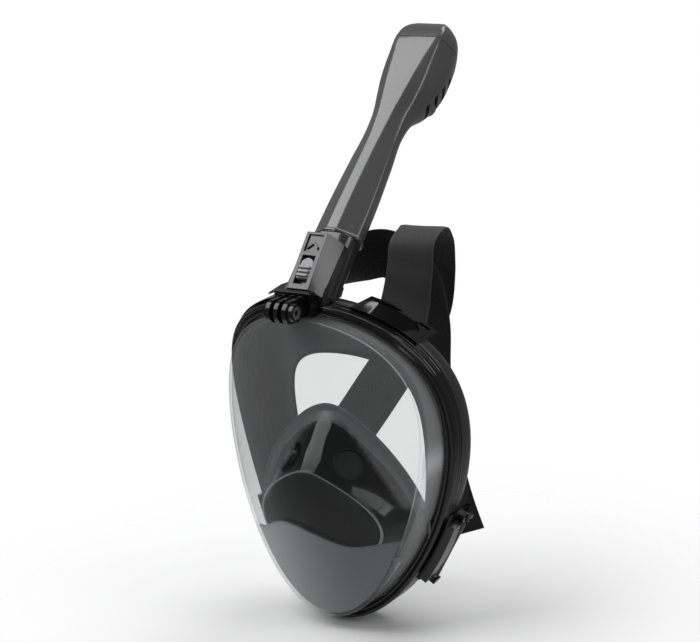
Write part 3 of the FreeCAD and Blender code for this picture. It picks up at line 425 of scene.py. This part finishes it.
def lens_columns(edge, depth, fillet):
    """Wall, fillet and front of the lens's outer or inner surface, from the flange to the centre."""
    x0, z0 = ring(edge)
    y_base = saddle(x0, z0) - 7.9
    y_crease = lens_front(x0, z0) + depth
    for _ in range(30):
        y_crease = lens_front(x0 * squeeze(y_crease), z0) + depth
    columns = []
    for share in np.linspace(0, 1, WALL_ROWS):
        y = y_base + (y_crease + fillet - y_base) * share
        columns.append(np.stack([x0 * squeeze(y), y, z0], 1))
    corner = np.stack([x0 * squeeze(y_crease), y_crease, z0], 1)
    radius = np.hypot(corner[:, 0] - LENS_CENTRE[0], corner[:, 2] - LENS_CENTRE[1])

    def front(share):
        x = LENS_CENTRE[0] + (corner[:, 0] - LENS_CENTRE[0]) * share
        z = LENS_CENTRE[1] + (corner[:, 2] - LENS_CENTRE[1]) * share
        return np.stack([x, lens_front(x, z) + depth, z], 1)

    start = 1.0 - fillet / radius
    columns += bezier(columns[-1], corner, front(start), 7)[1:]
    for share in np.linspace(1, 0.004, FRONT_ROWS)[1:]:
        columns.append(front(start * share))
    return columns


def haze_and_painted_light_amount(points):
    """Haziness of the lens, most of it painted light: an even painted sheen above the breathing pocket, none
    over the pocket, painted light stronger at the chin and lighter towards the left, and a painted highlight
    on the right side wall.
    """
    x, y, z = points.T

    def step(value, low, high):
        s = np.clip((value - low) / (high - low), 0, 1)
        return s * s * (3 - 2 * s)

    arch = np.interp(x, ARCH_MARKS, ARCH_HEIGHTS)
    wave = chin_top(x - 1.7) + 0.9
    # even painted sheen on the lens front above the breathing pocket's outline, none over the pocket
    above = step(z - arch, -1.5, 1.5)
    # painted light over the chin, lighter towards the left
    chin = step(wave - z, -1.5, 1.5)
    left = step(-x, -30, 45)
    front_only = step(y - lens_front(x, z), 6.0, 3.5)
    strength = 0.070 * above + chin * (0.050 + 0.150 * left)
    # on the side walls a little even haziness, with a painted highlight brighter towards the right and
    # strongest in a band at mid height
    right = step(x, 5.0, 40.0)
    painted_highlight_patch = np.exp(-((z - 6.0) / 9.0) ** 2) * right
    return strength * front_only + (0.02 + 0.15 * right + 0.25 * painted_highlight_patch) * (1 - front_only)


def clear_lens():
    x, z = ring(-2.5)
    rim = [np.stack([x, saddle(x, z) - depth, z], 1) for depth in (6.0, 7.8)]
    outer = lens_columns(LENS_OUTER, 0.0, 3.2)
    inner = lens_columns(LENS_INNER, LENS_THICKNESS, 2.0)
    x, z = ring(LENS_INNER)
    inner_foot = np.stack([x, saddle(x, z) - 6.0, z], 1)
    grid = np.stack(rim + outer + inner[::-1] + [inner_foot], 1)
    lens = grid_piece("visor_shell", grid, LENS, sharp=55.0)
    points = np.empty(len(lens.data.vertices) * 3)
    lens.data.vertices.foreach_get("co", points)
    strength = haze_and_painted_light_amount(points.reshape(-1, 3) / MM).reshape(RING_STEPS, -1)
    # painted highlight line along the lens's front crease, brighter towards the right and above the chin
    crease = len(rim) + WALL_ROWS + 3
    crease_highlight_ramp = np.clip((x + 20.0) / 70.0, 0.0, 1.0)
    above_chin = np.clip((z + 60.0) / 40.0, 0.0, 1.0)
    strength[:, crease] += 0.36 * crease_highlight_ramp * above_chin
    # per-vertex haziness of the lens, mostly painted sheen, painted light and painted highlights
    haze_and_painted_light = lens.data.attributes.new("haze_and_painted_light", "FLOAT", "POINT")
    haze_and_painted_light.data.foreach_set("value", strength.ravel())
    return lens


visor = clear_lens()

# ---------------------------------------------------------------- breathing pocket
POCKET_ANGLES = np.arange(192) * 2 * math.pi / 192
# half width, top, bottom and pinch of the pocket's outline in front and behind
POCKET_FRONT, POCKET_BACK = (35.0, -6.0, -56.0, 0.20), (58.5, 52.0, -80.0, 0.22)
OUTER_GAP, INNER_GAP = 3.0, 5.0
# (outward, backward) steps round the rolled rim
RIM_ROLL = (
    (0.8, 0.2), (2.0, 0.0), (3.4, -0.6), (4.4, -1.6), (5.0, -1.0),
    (4.8, 0.8), (3.8, 2.0), (2.2, 2.4), (0.3, 2.2), (-1.6, 1.2),
)


def pocket_outline(y, shrink):
    share = (y + 42.0) / 60.0
    half, top, bottom, pinch = (a + (b - a) * share for a, b in zip(POCKET_FRONT, POCKET_BACK))
    t = POCKET_ANGLES
    x = (half - shrink) * (np.sin(t) - pinch * np.sin(2 * t))
    z = (top + bottom) / 2 + ((top - bottom) / 2 - shrink) * np.cos(t)
    return x, z


def pocket_depth(shrink, height):
    """y at which the pocket's wall meets the surface y = height(x, z), all round."""
    y = np.zeros(len(POCKET_ANGLES))
    for _ in range(60):
        y = 0.5 * y + 0.5 * height(*pocket_outline(y, shrink))
    return y


def rim_depth(x, z):
    return np.minimum(-1.0 + (36.0 - z) * 0.181, saddle(x, z) + 10.8)


def pocket_shell():
    """Closed cup behind the lens: front panel, walls and a rolled rim that rests on the face."""
    def wall(shrink, gap, rows):
        front = pocket_depth(shrink, lambda x, z: lens_front(x, z) + gap)
        back = np.maximum(pocket_depth(shrink, rim_depth), front + 2.0)
        columns = []
        for share in np.linspace(0, 1, rows):
            y = front + (back - front) * share
            x, z = pocket_outline(y, shrink + 2.2 * math.sin(math.pi * share) * (1 - share))
            columns.append(np.stack([x, y, z], 1))
        return columns

    def panel(edge, gap, shares):
        """Front panel from a wall's first column to its centre."""
        centre_x, centre_z = edge[:, 0].mean(), edge[:, 2].mean()
        columns = []
        for share in shares:
            x = centre_x + (edge[:, 0] - centre_x) * share
            z = centre_z + (edge[:, 2] - centre_z) * share
            columns.append(np.stack([x, lens_front(x, z) + gap + 2.5 * (1 - share ** 4), z], 1))
        return columns

    outer, inner = wall(0.0, OUTER_GAP, 26), wall(2.0, INNER_GAP, 26)
    shares = np.linspace(0.004, 0.96, 18)
    ridge = panel(outer[0], 2.75, (0.975, 0.99))
    rim = outer[-1]
    away = rim - rim.mean(axis=0)
    away[:, 1] = 0
    away /= np.linalg.norm(away, axis=1)[:, None]
    back = np.array([0.0, 1.0, 0.0])
    roll = []
    for out, rear in RIM_ROLL:
        roll.append(rim + away * out + back * rear)
    columns = panel(outer[0], OUTER_GAP, shares) + ridge + outer + roll + inner[::-1]
    columns += panel(inner[0], INNER_GAP, shares[::-1])
    shell = grid_piece("breathing_pocket", np.stack(columns, 1), POCKET, sharp=60.0)
    shell.data.materials.append(POCKET_RIM_HIGHLIGHT)
    shell.data.materials.append(FLANGE_SHEEN)
    shell.data.materials.append(PANEL)
    line = len(shares)
    flange = line + len(ridge) + len(outer) - 5
    for face in shell.data.polygons:
        column = min(vertex % len(columns) for vertex in face.vertices)
        # the columns round the front ridge take the painted highlight line
        if line - 1 <= column <= line + 1:
            face.material_index = 1
        elif column < line:
            face.material_index = 3
        # the rolled rim takes the lighter grey with its painted sheen
        elif flange <= column <= flange + len(roll) + 5:
            face.material_index = 2
    return shell


pocket = pocket_shell()


def chin_shield():
    """Smooth shield under the pocket's front panel, just behind the lens, down to the frame."""
    x_edge, z_edge = ring(-9.8)
    x_edge = x_edge * squeeze(-28.0)
    steps = 72
    rows = []
    for u in np.linspace(-1, 1, steps):
        x = CHIN_HALF_WIDTH * u
        top = float(chin_top(x))
        lower = z_edge < -30
        order = np.argsort(x_edge[lower])
        bottom = np.interp(x, x_edge[lower][order], z_edge[lower][order])
        bottom = min(bottom, top - 1.0)
        column = []
        for v in np.linspace(0, 1, 20):
            z = top + (bottom - top) * v
            wall = saddle(x, z) - 9.0
            column.append((x, min(lens_front(x, z) + 2.5, wall), z))
        rows.append(column)
    front = np.array(rows)
    back = front + np.array([0, 0.45, 0])
    grid = np.concatenate([front, back[:, ::-1]], axis=1)
    return grid_piece("chin_shield", grid, CHIN, close_rows=False, sharp=60.0)


chin = chin_shield()

# ---------------------------------------------------------------- tube
LEAN = math.radians(49.0)
TUBE_RIM = np.array([0.0, 23.2, 143.7])
ACROSS = np.array([1.0, 0.0, 0.0])
ALONG = np.array([0.0, math.sin(LEAN), math.cos(LEAN)])
FORWARD = np.array([0.0, -math.cos(LEAN), math.sin(LEAN)])
STATIONS = (0, 31, 62, 89, 103, 116, 130, 148, 166, 172, 177, 180.5)
CAP_SEAM, CAP_TOP = 163.0, 180.5
TUBE_WALL = 1.8
# half width, reach forward, reach back, front facet's half width, and the side ridge's turn to the front
SECTIONS = (
    (17.5, 12.0, 12.0, 4.0, 0.25),
    (16.8, 11.6, 11.6, 4.0, 0.25),
    (15.0, 10.4, 10.4, 4.2, 0.28),
    (13.3, 9.4, 9.6, 5.0, 0.32),
    (14.2, 9.8, 14.0, 6.2, 0.40),
    (17.4, 10.5, 23.5, 8.0, 0.52),
    (21.2, 11.2, 29.5, 10.0, 0.66),
    (24.0, 11.3, 28.5, 12.5, 0.84),
    (23.0, 10.4, 24.0, 14.5, 0.97),
    (21.4, 9.0, 21.0, 13.6, 0.97),
    (18.3, 6.4, 16.0, 11.6, 0.97),
    (14.5, 3.2, 11.0, 9.0, 0.97),
)
CORNER_POINTS = 4


def tube_section(values, shrink):
    """Faceted closed section: front facet, side facets, rear flanks and back, with rounded corners."""
    half, front, back, facet, turn = values
    half, front, back = half - shrink, front - shrink, back - shrink
    facet = min(facet, half - 2.0)
    ridge_x = half + (facet + 2.2 - half) * max(turn - 0.3, 0) * 1.3
    ridge_n = front * (0.1 + 0.86 * turn)
    right = [
        (facet, front, 1.2), (ridge_x, ridge_n, 1.6), (half, -0.30 * back, 5.0),
        (half * 0.80, -0.74 * back, 4.0), (half * 0.42, -back, 3.0),
    ]
    corners = [(x, n, r) for x, n, r in right] + [(-x, n, r) for x, n, r in reversed(right)]
    outline = []
    for i, (x, n, radius) in enumerate(corners):
        here = np.array([x, n])
        before = np.array(corners[i - 1][:2]) - here
        after = np.array(corners[(i + 1) % len(corners)][:2]) - here
        reach_before = min(radius, 0.45 * np.linalg.norm(before))
        reach_after = min(radius, 0.45 * np.linalg.norm(after))
        start = here + before / np.linalg.norm(before) * reach_before
        end = here + after / np.linalg.norm(after) * reach_after
        outline += bezier(start, here, end, CORNER_POINTS)
    return np.array(outline)


def tube_ring(along, shrink=0.0):
    values = smooth_rows(STATIONS, SECTIONS, along)
    outline = tube_section(values, shrink)
    return TUBE_RIM + outline[:, :1] * ACROSS + outline[:, 1:] * FORWARD + along * ALONG


def tube_body():
    outer = [tube_ring(s) for s in np.linspace(0.0, CAP_SEAM, 82)]
    inner = [tube_ring(s, TUBE_WALL) for s in np.linspace(CAP_SEAM, 0.0, 40)]
    grid = np.stack(outer + inner, 0)
    return grid_piece("tube_body", grid, SMOKE, close_rows=True, sharp=22.0)


def tube_cap():
    rise = np.array([0.4, 0.6, 1.2, 3.0, 5.0, 7.0, 9.0, 11.0, 13.0, 15.0, 16.5, CAP_TOP - CAP_SEAM])
    lower = [tube_ring(CAP_SEAM + r) for r in rise]
    top = tube_ring(CAP_TOP)
    middle = top.mean(axis=0)
    lower += [middle + (top - middle) * share + ALONG * (1 - share) * 1.0 for share in (0.8, 0.5, 0.2)]
    return grid_piece("tube_cap", np.stack(lower, 0), SMOKE, close_rows=False, sharp=22.0)


tube = tube_body()
cap = tube_cap()


def cut(target, cutters):
    """Cuts closed grids out of a piece, and drops them."""
    for cutter in cutters:
        change = target.modifiers.new("cut", "BOOLEAN")
        change.operation = "DIFFERENCE"
        change.solver = "EXACT"
        change.object = cutter
    graph = bpy.context.evaluated_depsgraph_get()
    mesh = bpy.data.meshes.new_from_object(target.evaluated_get(graph))
    target.modifiers.clear()
    target.data = mesh
    for cutter in cutters:
        bpy.data.objects.remove(cutter)


def tube_box(x0, x1, n0, n1, s0, s1, tilt=0.0):
    corners = []
    for s in (s0, s1):
        for x, n in ((x0, n0), (x1, n0), (x1, n1), (x0, n1)):
            lift = tilt * (n - n0)
            corners.append(TUBE_RIM + ACROSS * x + FORWARD * n + ALONG * (s + lift))
    return np.array(corners).reshape(2, 4, 3)


VENT_COUNT, VENT_PITCH, VENT_LENGTH, VENT_HEIGHT, VENT_TILT = 4, 9.0, 10.0, 4.0, 0.35
VENT_START, VENT_FRONT, VENT_STEP_BACK = 114.0, -8.5, 1.4
VENT_INNER, VENT_OUTER = 8.0, 40.0

vents = []
for side in (1, -1):
    x0, x1 = sorted((side * VENT_INNER, side * VENT_OUTER))
    for i in range(VENT_COUNT):
        along, front = VENT_START + VENT_PITCH * i, VENT_FRONT - VENT_STEP_BACK * i
        slot = tube_box(x0, x1, front - VENT_LENGTH, front, along, along + VENT_HEIGHT, VENT_TILT)
        vents.append(grid_piece("vent", slot, SMOKE, close_rows=False))
cut(tube, vents)
tube.data.shade_smooth()
tube.data.set_sharp_from_angle(angle=math.radians(22.0))


DOME_START, DOME_END, DOME_HALF_WIDTH = 147.0, 178.5, 13.5
DOME_ROWS, DOME_COLUMNS = 24, 15
DOME_HEIGHT, DOME_THICKNESS = 1.5, 1.4


def dome_surface():
    """Grid of (x, reach, along) on the head's back, raised in the middle with rounded edges."""
    across = np.linspace(-DOME_HALF_WIDTH, DOME_HALF_WIDTH, DOME_COLUMNS)
    rows = []
    for s in np.linspace(DOME_START, DOME_END, DOME_ROWS):
        section = tube_ring(s)
        reach = (section - TUBE_RIM) @ FORWARD
        rear = (np.abs(section[:, 0]) < DOME_HALF_WIDTH + 1.5) & (reach < -6.0)
        order = np.argsort(section[rear, 0])
        back = np.interp(across, section[rear, 0][order], reach[rear][order])
        rows.append(np.stack([across, back, np.full(DOME_COLUMNS, s)], 1))
    surface = np.array(rows)
    i, j = np.arange(DOME_ROWS)[:, None], np.arange(DOME_COLUMNS)[None, :]
    from_ends = np.minimum(i, DOME_ROWS - 1 - i) / 3.0
    from_sides = np.minimum(j, DOME_COLUMNS - 1 - j) / 2.0
    edge = np.minimum(1.0, np.minimum(from_ends, from_sides))
    surface[:, :, 1] -= 0.1 + DOME_HEIGHT * np.sqrt(edge)
    return surface


def rear_dome():
    """Glossy panel over the rear of the head, above the vents."""
    surface = dome_surface()
    top = TUBE_RIM + surface[..., :1] * ACROSS + surface[..., 1:2] * FORWARD + surface[..., 2:] * ALONG
    under = top + FORWARD * DOME_THICKNESS
    count = DOME_ROWS * DOME_COLUMNS
    faces = grid_faces(DOME_ROWS, DOME_COLUMNS, False, False)
    faces += [tuple(k + count for k in face[::-1]) for face in faces]
    last_row, last_column = DOME_ROWS - 1, DOME_COLUMNS - 1
    rim = [(0, j) for j in range(DOME_COLUMNS)] + [(i, last_column) for i in range(1, DOME_ROWS)]
    rim += [(last_row, j) for j in range(last_column - 1, -1, -1)]
    rim += [(i, 0) for i in range(last_row - 1, 0, -1)]
    loop = [i * DOME_COLUMNS + j for i, j in rim]
    for a, b in zip(loop, loop[1:] + loop[:1]):
        faces.append((a, b, b + count, a + count))
    points = np.concatenate([top.reshape(-1, 3), under.reshape(-1, 3)])
    return fix_normals(mesh_piece("head_rear_dome", points, faces, FRAME_BLACK, sharp=50.0))


dome = rear_dome()


def tube_collar():
    """Thin raised rim round the lower end of the tube."""
    profile = ((0.0, 0.4), (0.7, 0.7), (0.9, 1.6), (0.6, 2.6), (-0.3, 3.0), (-0.5, 0.6))
    columns = []
    for out, s in profile:
        section = tube_ring(s, -out)
        columns.append(section)
    return grid_piece("tube_collar", np.stack(columns, 1), SMOKE, sharp=50.0)


collar = tube_collar()

# ---------------------------------------------------------------- straps
STRAP_HALF_WIDTH, STRAP_HALF_THICKNESS = 16.8, 0.7
LEFT_ROUTE = (
    ((51.2, 15.5, 98.0), (0.88, 0.05, -0.48)),
    ((52.0, 20.5, 110.0), (0.92, 0.05, -0.35)),
    ((53.5, 24.5, 128.0), (0.98, 0.00, -0.15)),
    ((54.0, 30.0, 147.0), (1.00, 0.00, 0.05)),
    ((54.0, 43.0, 152.5), (1.00, 0.00, 0.05)),
    ((50.0, 58.0, 144.0), (1.00, -0.05, 0.05)),
    ((43.0, 72.0, 122.0), (1.00, -0.10, 0.15)),
    ((34.0, 83.0, 92.0), (0.95, -0.10, -0.25)),
    ((17.5, 88.0, 64.0), (0.85, 0.00, -0.45)),
    ((-4.5, 87.0, 35.0), (0.80, 0.10, -0.55)),
    ((-32.0, 78.0, -6.0), (0.75, 0.35, -0.55)),
    ((-56.0, 65.0, -42.0), (0.55, 0.30, -0.65)),
    ((-69.7, 50.0, -61.0), (0.42, -0.20, -0.88)),
)
RIGHT_ROUTE = (
    ((-52.0, 22.8, 106.0), (0.90, -0.05, 0.42)),
    ((-44.0, 35.0, 108.0), (0.85, -0.25, 0.48)),
    ((-26.0, 46.0, 112.0), (0.55, -0.40, 0.73)),
    ((-4.0, 52.0, 123.0), (0.05, -0.25, 0.97)),
    ((18.0, 56.0, 128.0), (-0.05, 0.00, 0.98)),
    ((33.0, 60.0, 117.0), (0.50, 0.00, 0.80)),
    ((38.0, 67.0, 90.0), (0.92, 0.00, 0.38)),
    ((35.0, 75.0, 45.0), (1.00, -0.10, 0.00)),
    ((42.0, 71.0, 8.0), (0.95, -0.30, 0.15)),
    ((58.0, 61.0, -32.0), (0.70, -0.30, 0.60)),
    ((69.7, 50.0, -61.0), (0.42, 0.20, 0.88)),
)
STRAP_ROWS = 160


def strap_band(name, route):
    centres = np.array([centre for centre, across in route])
    sides = np.array([across for centre, across in route])
    gaps = np.linalg.norm(np.diff(centres, axis=0), axis=1)
    travelled = np.concatenate([[0], np.cumsum(gaps)])
    rows, across_values, along_values = [], [], []
    marks = np.linspace(0, travelled[-1], STRAP_ROWS)
    path = np.array([smooth_rows(travelled, centres, s) for s in marks])
    tangents = np.gradient(path, axis=0)
    profile = []
    for k in np.linspace(-1, 1, 13):
        profile.append((k, 1.0 if abs(k) < 0.99 else 0.25))
    ring_profile = profile + [(k, -h) for k, h in reversed(profile)]
    for s, centre, tangent in zip(marks, path, tangents):
        tangent = tangent / np.linalg.norm(tangent)
        side = smooth_rows(travelled, sides, s)
        side = side - tangent * side.dot(tangent)
        side /= np.linalg.norm(side)
        normal = np.cross(tangent, side)
        for k, h in ring_profile:
            rows.append(centre + side * k * STRAP_HALF_WIDTH + normal * h * STRAP_HALF_THICKNESS)
            across_values.append(k)
            along_values.append(s * MM)
    grid = np.array(rows).reshape(STRAP_ROWS, len(ring_profile), 3)
    strap = grid_piece(name, grid, STRAP, close_rows=False, sharp=60.0)
    for label, values in (("across", across_values), ("along", along_values)):
        attribute = strap.data.attributes.new(label, "FLOAT", "POINT")
        attribute.data.foreach_set("value", values)
    length = float(np.linalg.norm(np.diff(path, axis=0), axis=1).sum())
    return strap, length


strap_left, left_length = strap_band("strap_left", LEFT_ROUTE)
strap_right, right_length = strap_band("strap_right", RIGHT_ROUTE)

# ---------------------------------------------------------------- finishes on the CAD's own parts
FINISHES = {
    SMOKE: ("tube_spigot", "tube_divider", "float_guide", "float_floor"),
    SOCKET: ("snorkel_socket",),
    LATCH: ("release_latch",),
    STEEL: ("mount_nut", "clip_pin_left", "clip_pin_right"),
    SPRING_STEEL: ("latch_spring",),
    GASKET: ("socket_gasket",),
    FLOAT_ORANGE: ("float",),
    VALVE_PLASTIC: ("inhale_valve_seat_left", "inhale_valve_seat_right", "drain_valve_seat"),
    VALVE_SILICONE: ("inhale_valve_disc_left", "inhale_valve_disc_right", "drain_valve_disc", "float_seal"),
    FRAME_BLACK: (
        "camera_mount", "strap_arm_left", "strap_arm_right", "lower_bracket_left", "lower_bracket_right",
    ),
    CLIP: ("strap_clip_left", "strap_clip_right"),
}
for material, names in FINISHES.items():
    for name in names:
        mesh = NODES[name].data
        mesh.materials.clear()
        mesh.materials.append(material)

# ---------------------------------------------------------------- bodies, and the CAD parts the pieces stand in for
PLACES = (
    (bezel, "mask", "frame", ("front_frame",)),
    (rear_ring, "mask", "frame", ("rear_frame",)),
    (skirt, "mask", "skirt", ("face_skirt",)),
    (visor, "mask", "lens", ("visor_lens",)),
    (pocket, "mask", "pocket", ("orinasal_pocket",)),
    (chin, "mask", "pocket", ()),
    (tube, "snorkel", "smoke_plastic", ("tube_front_shell", "tube_rear_shell")),
    (cap, "snorkel", "smoke_plastic", ("top_cap",)),
    (dome, "snorkel", "frame", ("head_rear_panel",)),
    (collar, "snorkel", "smoke_plastic", ()),
    (strap_left, "mask", "strap", ("head_strap_left",)),
    (strap_right, "mask", "strap", ("head_strap_right",)),
)
for piece, body, slot, nodes in PLACES:
    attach(piece, body)
    if nodes:
        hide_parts(*nodes)

# ---------------------------------------------------------------- floor, light and camera
low, high = cad_box
bpy.ops.mesh.primitive_plane_add(size=3.0, location=(0, 0, low[2] - 0.002))
floor = bpy.context.object
floor.name = "studio_floor"
floor_material, floor_nodes, floor_links, floor_shader = new_material("pale_floor")
floor_shader.inputs["Base Color"].default_value = (0.90, 0.90, 0.90, 1)
floor_shader.inputs["Roughness"].default_value = 0.7
place = floor_nodes.new("ShaderNodeTexCoord")
radius = floor_nodes.new("ShaderNodeVectorMath")
radius.operation = "LENGTH"
fade = floor_nodes.new("ShaderNodeMapRange")
fade.interpolation_type = "SMOOTHSTEP"
fade.inputs["From Min"].default_value = 0.04
fade.inputs["From Max"].default_value = 0.36
clear = floor_nodes.new("ShaderNodeBsdfTransparent")
faded = floor_nodes.new("ShaderNodeMixShader")
floor_links.new(place.outputs["Object"], radius.inputs[0])
floor_links.new(radius.outputs["Value"], fade.inputs["Value"])
floor_links.new(fade.outputs["Result"], faded.inputs[0])
floor_links.new(floor_shader.outputs[0], faded.inputs[1])
floor_links.new(clear.outputs[0], faded.inputs[2])
floor_links.new(faded.outputs[0], floor_nodes["Material Output"].inputs["Surface"])
floor.data.materials.append(floor_material)

world = bpy.data.worlds.new("studio")
scene.world = world
world.use_nodes = True
world_nodes, world_links = world.node_tree.nodes, world.node_tree.links
background = world_nodes["Background"]
background.inputs["Color"].default_value = (0.92, 0.93, 0.95, 1)
background.inputs["Strength"].default_value = 0.22
bright = world_nodes.new("ShaderNodeBackground")
bright.inputs["Color"].default_value = (1, 1, 1, 1)
bright.inputs["Strength"].default_value = 1.0
path_info = world_nodes.new("ShaderNodeLightPath")
choose = world_nodes.new("ShaderNodeMixShader")
world_links.new(path_info.outputs["Is Camera Ray"], choose.inputs[0])
world_links.new(background.outputs[0], choose.inputs[1])
world_links.new(bright.outputs[0], choose.inputs[2])
world_links.new(choose.outputs[0], world_nodes["World Output"].inputs["Surface"])


def unit(azimuth, elevation):
    """Direction from the object, azimuth 0 in front of the lens, turning towards +X."""
    a, e = math.radians(azimuth), math.radians(elevation)
    return np.array([math.sin(a) * math.cos(e), -math.cos(a) * math.cos(e), math.sin(e)])


LIGHTS_AIM = np.array([0, 0.03, 0.05])


def softbox(name, azimuth, elevation, distance, width, height, power):
    light = bpy.data.lights.new(name, "AREA")
    light.shape = "RECTANGLE"
    light.size, light.size_y = width, height
    light.energy = power
    obj = bpy.data.objects.new(name, light)
    scene.collection.objects.link(obj)
    aim_from(obj, unit(azimuth, elevation) * distance + LIGHTS_AIM, LIGHTS_AIM, 0.0)


def aim_from(obj, position, target, roll):
    """Puts obj at position looking at target; roll turns its up direction, in degrees."""
    back = (position - target) / np.linalg.norm(position - target)
    right = np.cross([0, 0, 1.0], back)
    right /= np.linalg.norm(right)
    up = np.cross(back, right)
    r = math.radians(roll)
    right, up = right * math.cos(r) - up * math.sin(r), right * math.sin(r) + up * math.cos(r)
    obj.matrix_world = Matrix([
        [right[0], up[0], back[0], position[0]],
        [right[1], up[1], back[1], position[1]],
        [right[2], up[2], back[2], position[2]],
        [0, 0, 0, 1],
    ])


softbox("key_top_left", -60, 55, 1.6, 1.3, 1.3, 22.0)
softbox("fill_right", 95, 25, 1.7, 0.5, 1.4, 7.0)
softbox("front_low", 58, 8, 2.4, 0.5, 0.8, 3.0)
softbox("rim_back", 170, 50, 1.6, 1.2, 0.8, 10.0)

CAMERA_AZIMUTH, CAMERA_ELEVATION, CAMERA_ROLL = 34.0, 20.0, 3.8
CAMERA_DISTANCE = 1.5
FOCAL_IN_WIDTHS = 2250.0 / 700.0
SENSOR = 36.0
camera_data = bpy.data.cameras.new("camera")
camera_data.lens = FOCAL_IN_WIDTHS * SENSOR
camera_data.sensor_width = SENSOR
camera_data.clip_start = 0.01
camera = bpy.data.objects.new("camera", camera_data)
scene.collection.objects.link(camera)
scene.camera = camera
AIM = np.array([-0.0023, 0.0358, 0.0851])
aim_from(camera, unit(CAMERA_AZIMUTH, CAMERA_ELEVATION) * CAMERA_DISTANCE, AIM, CAMERA_ROLL)
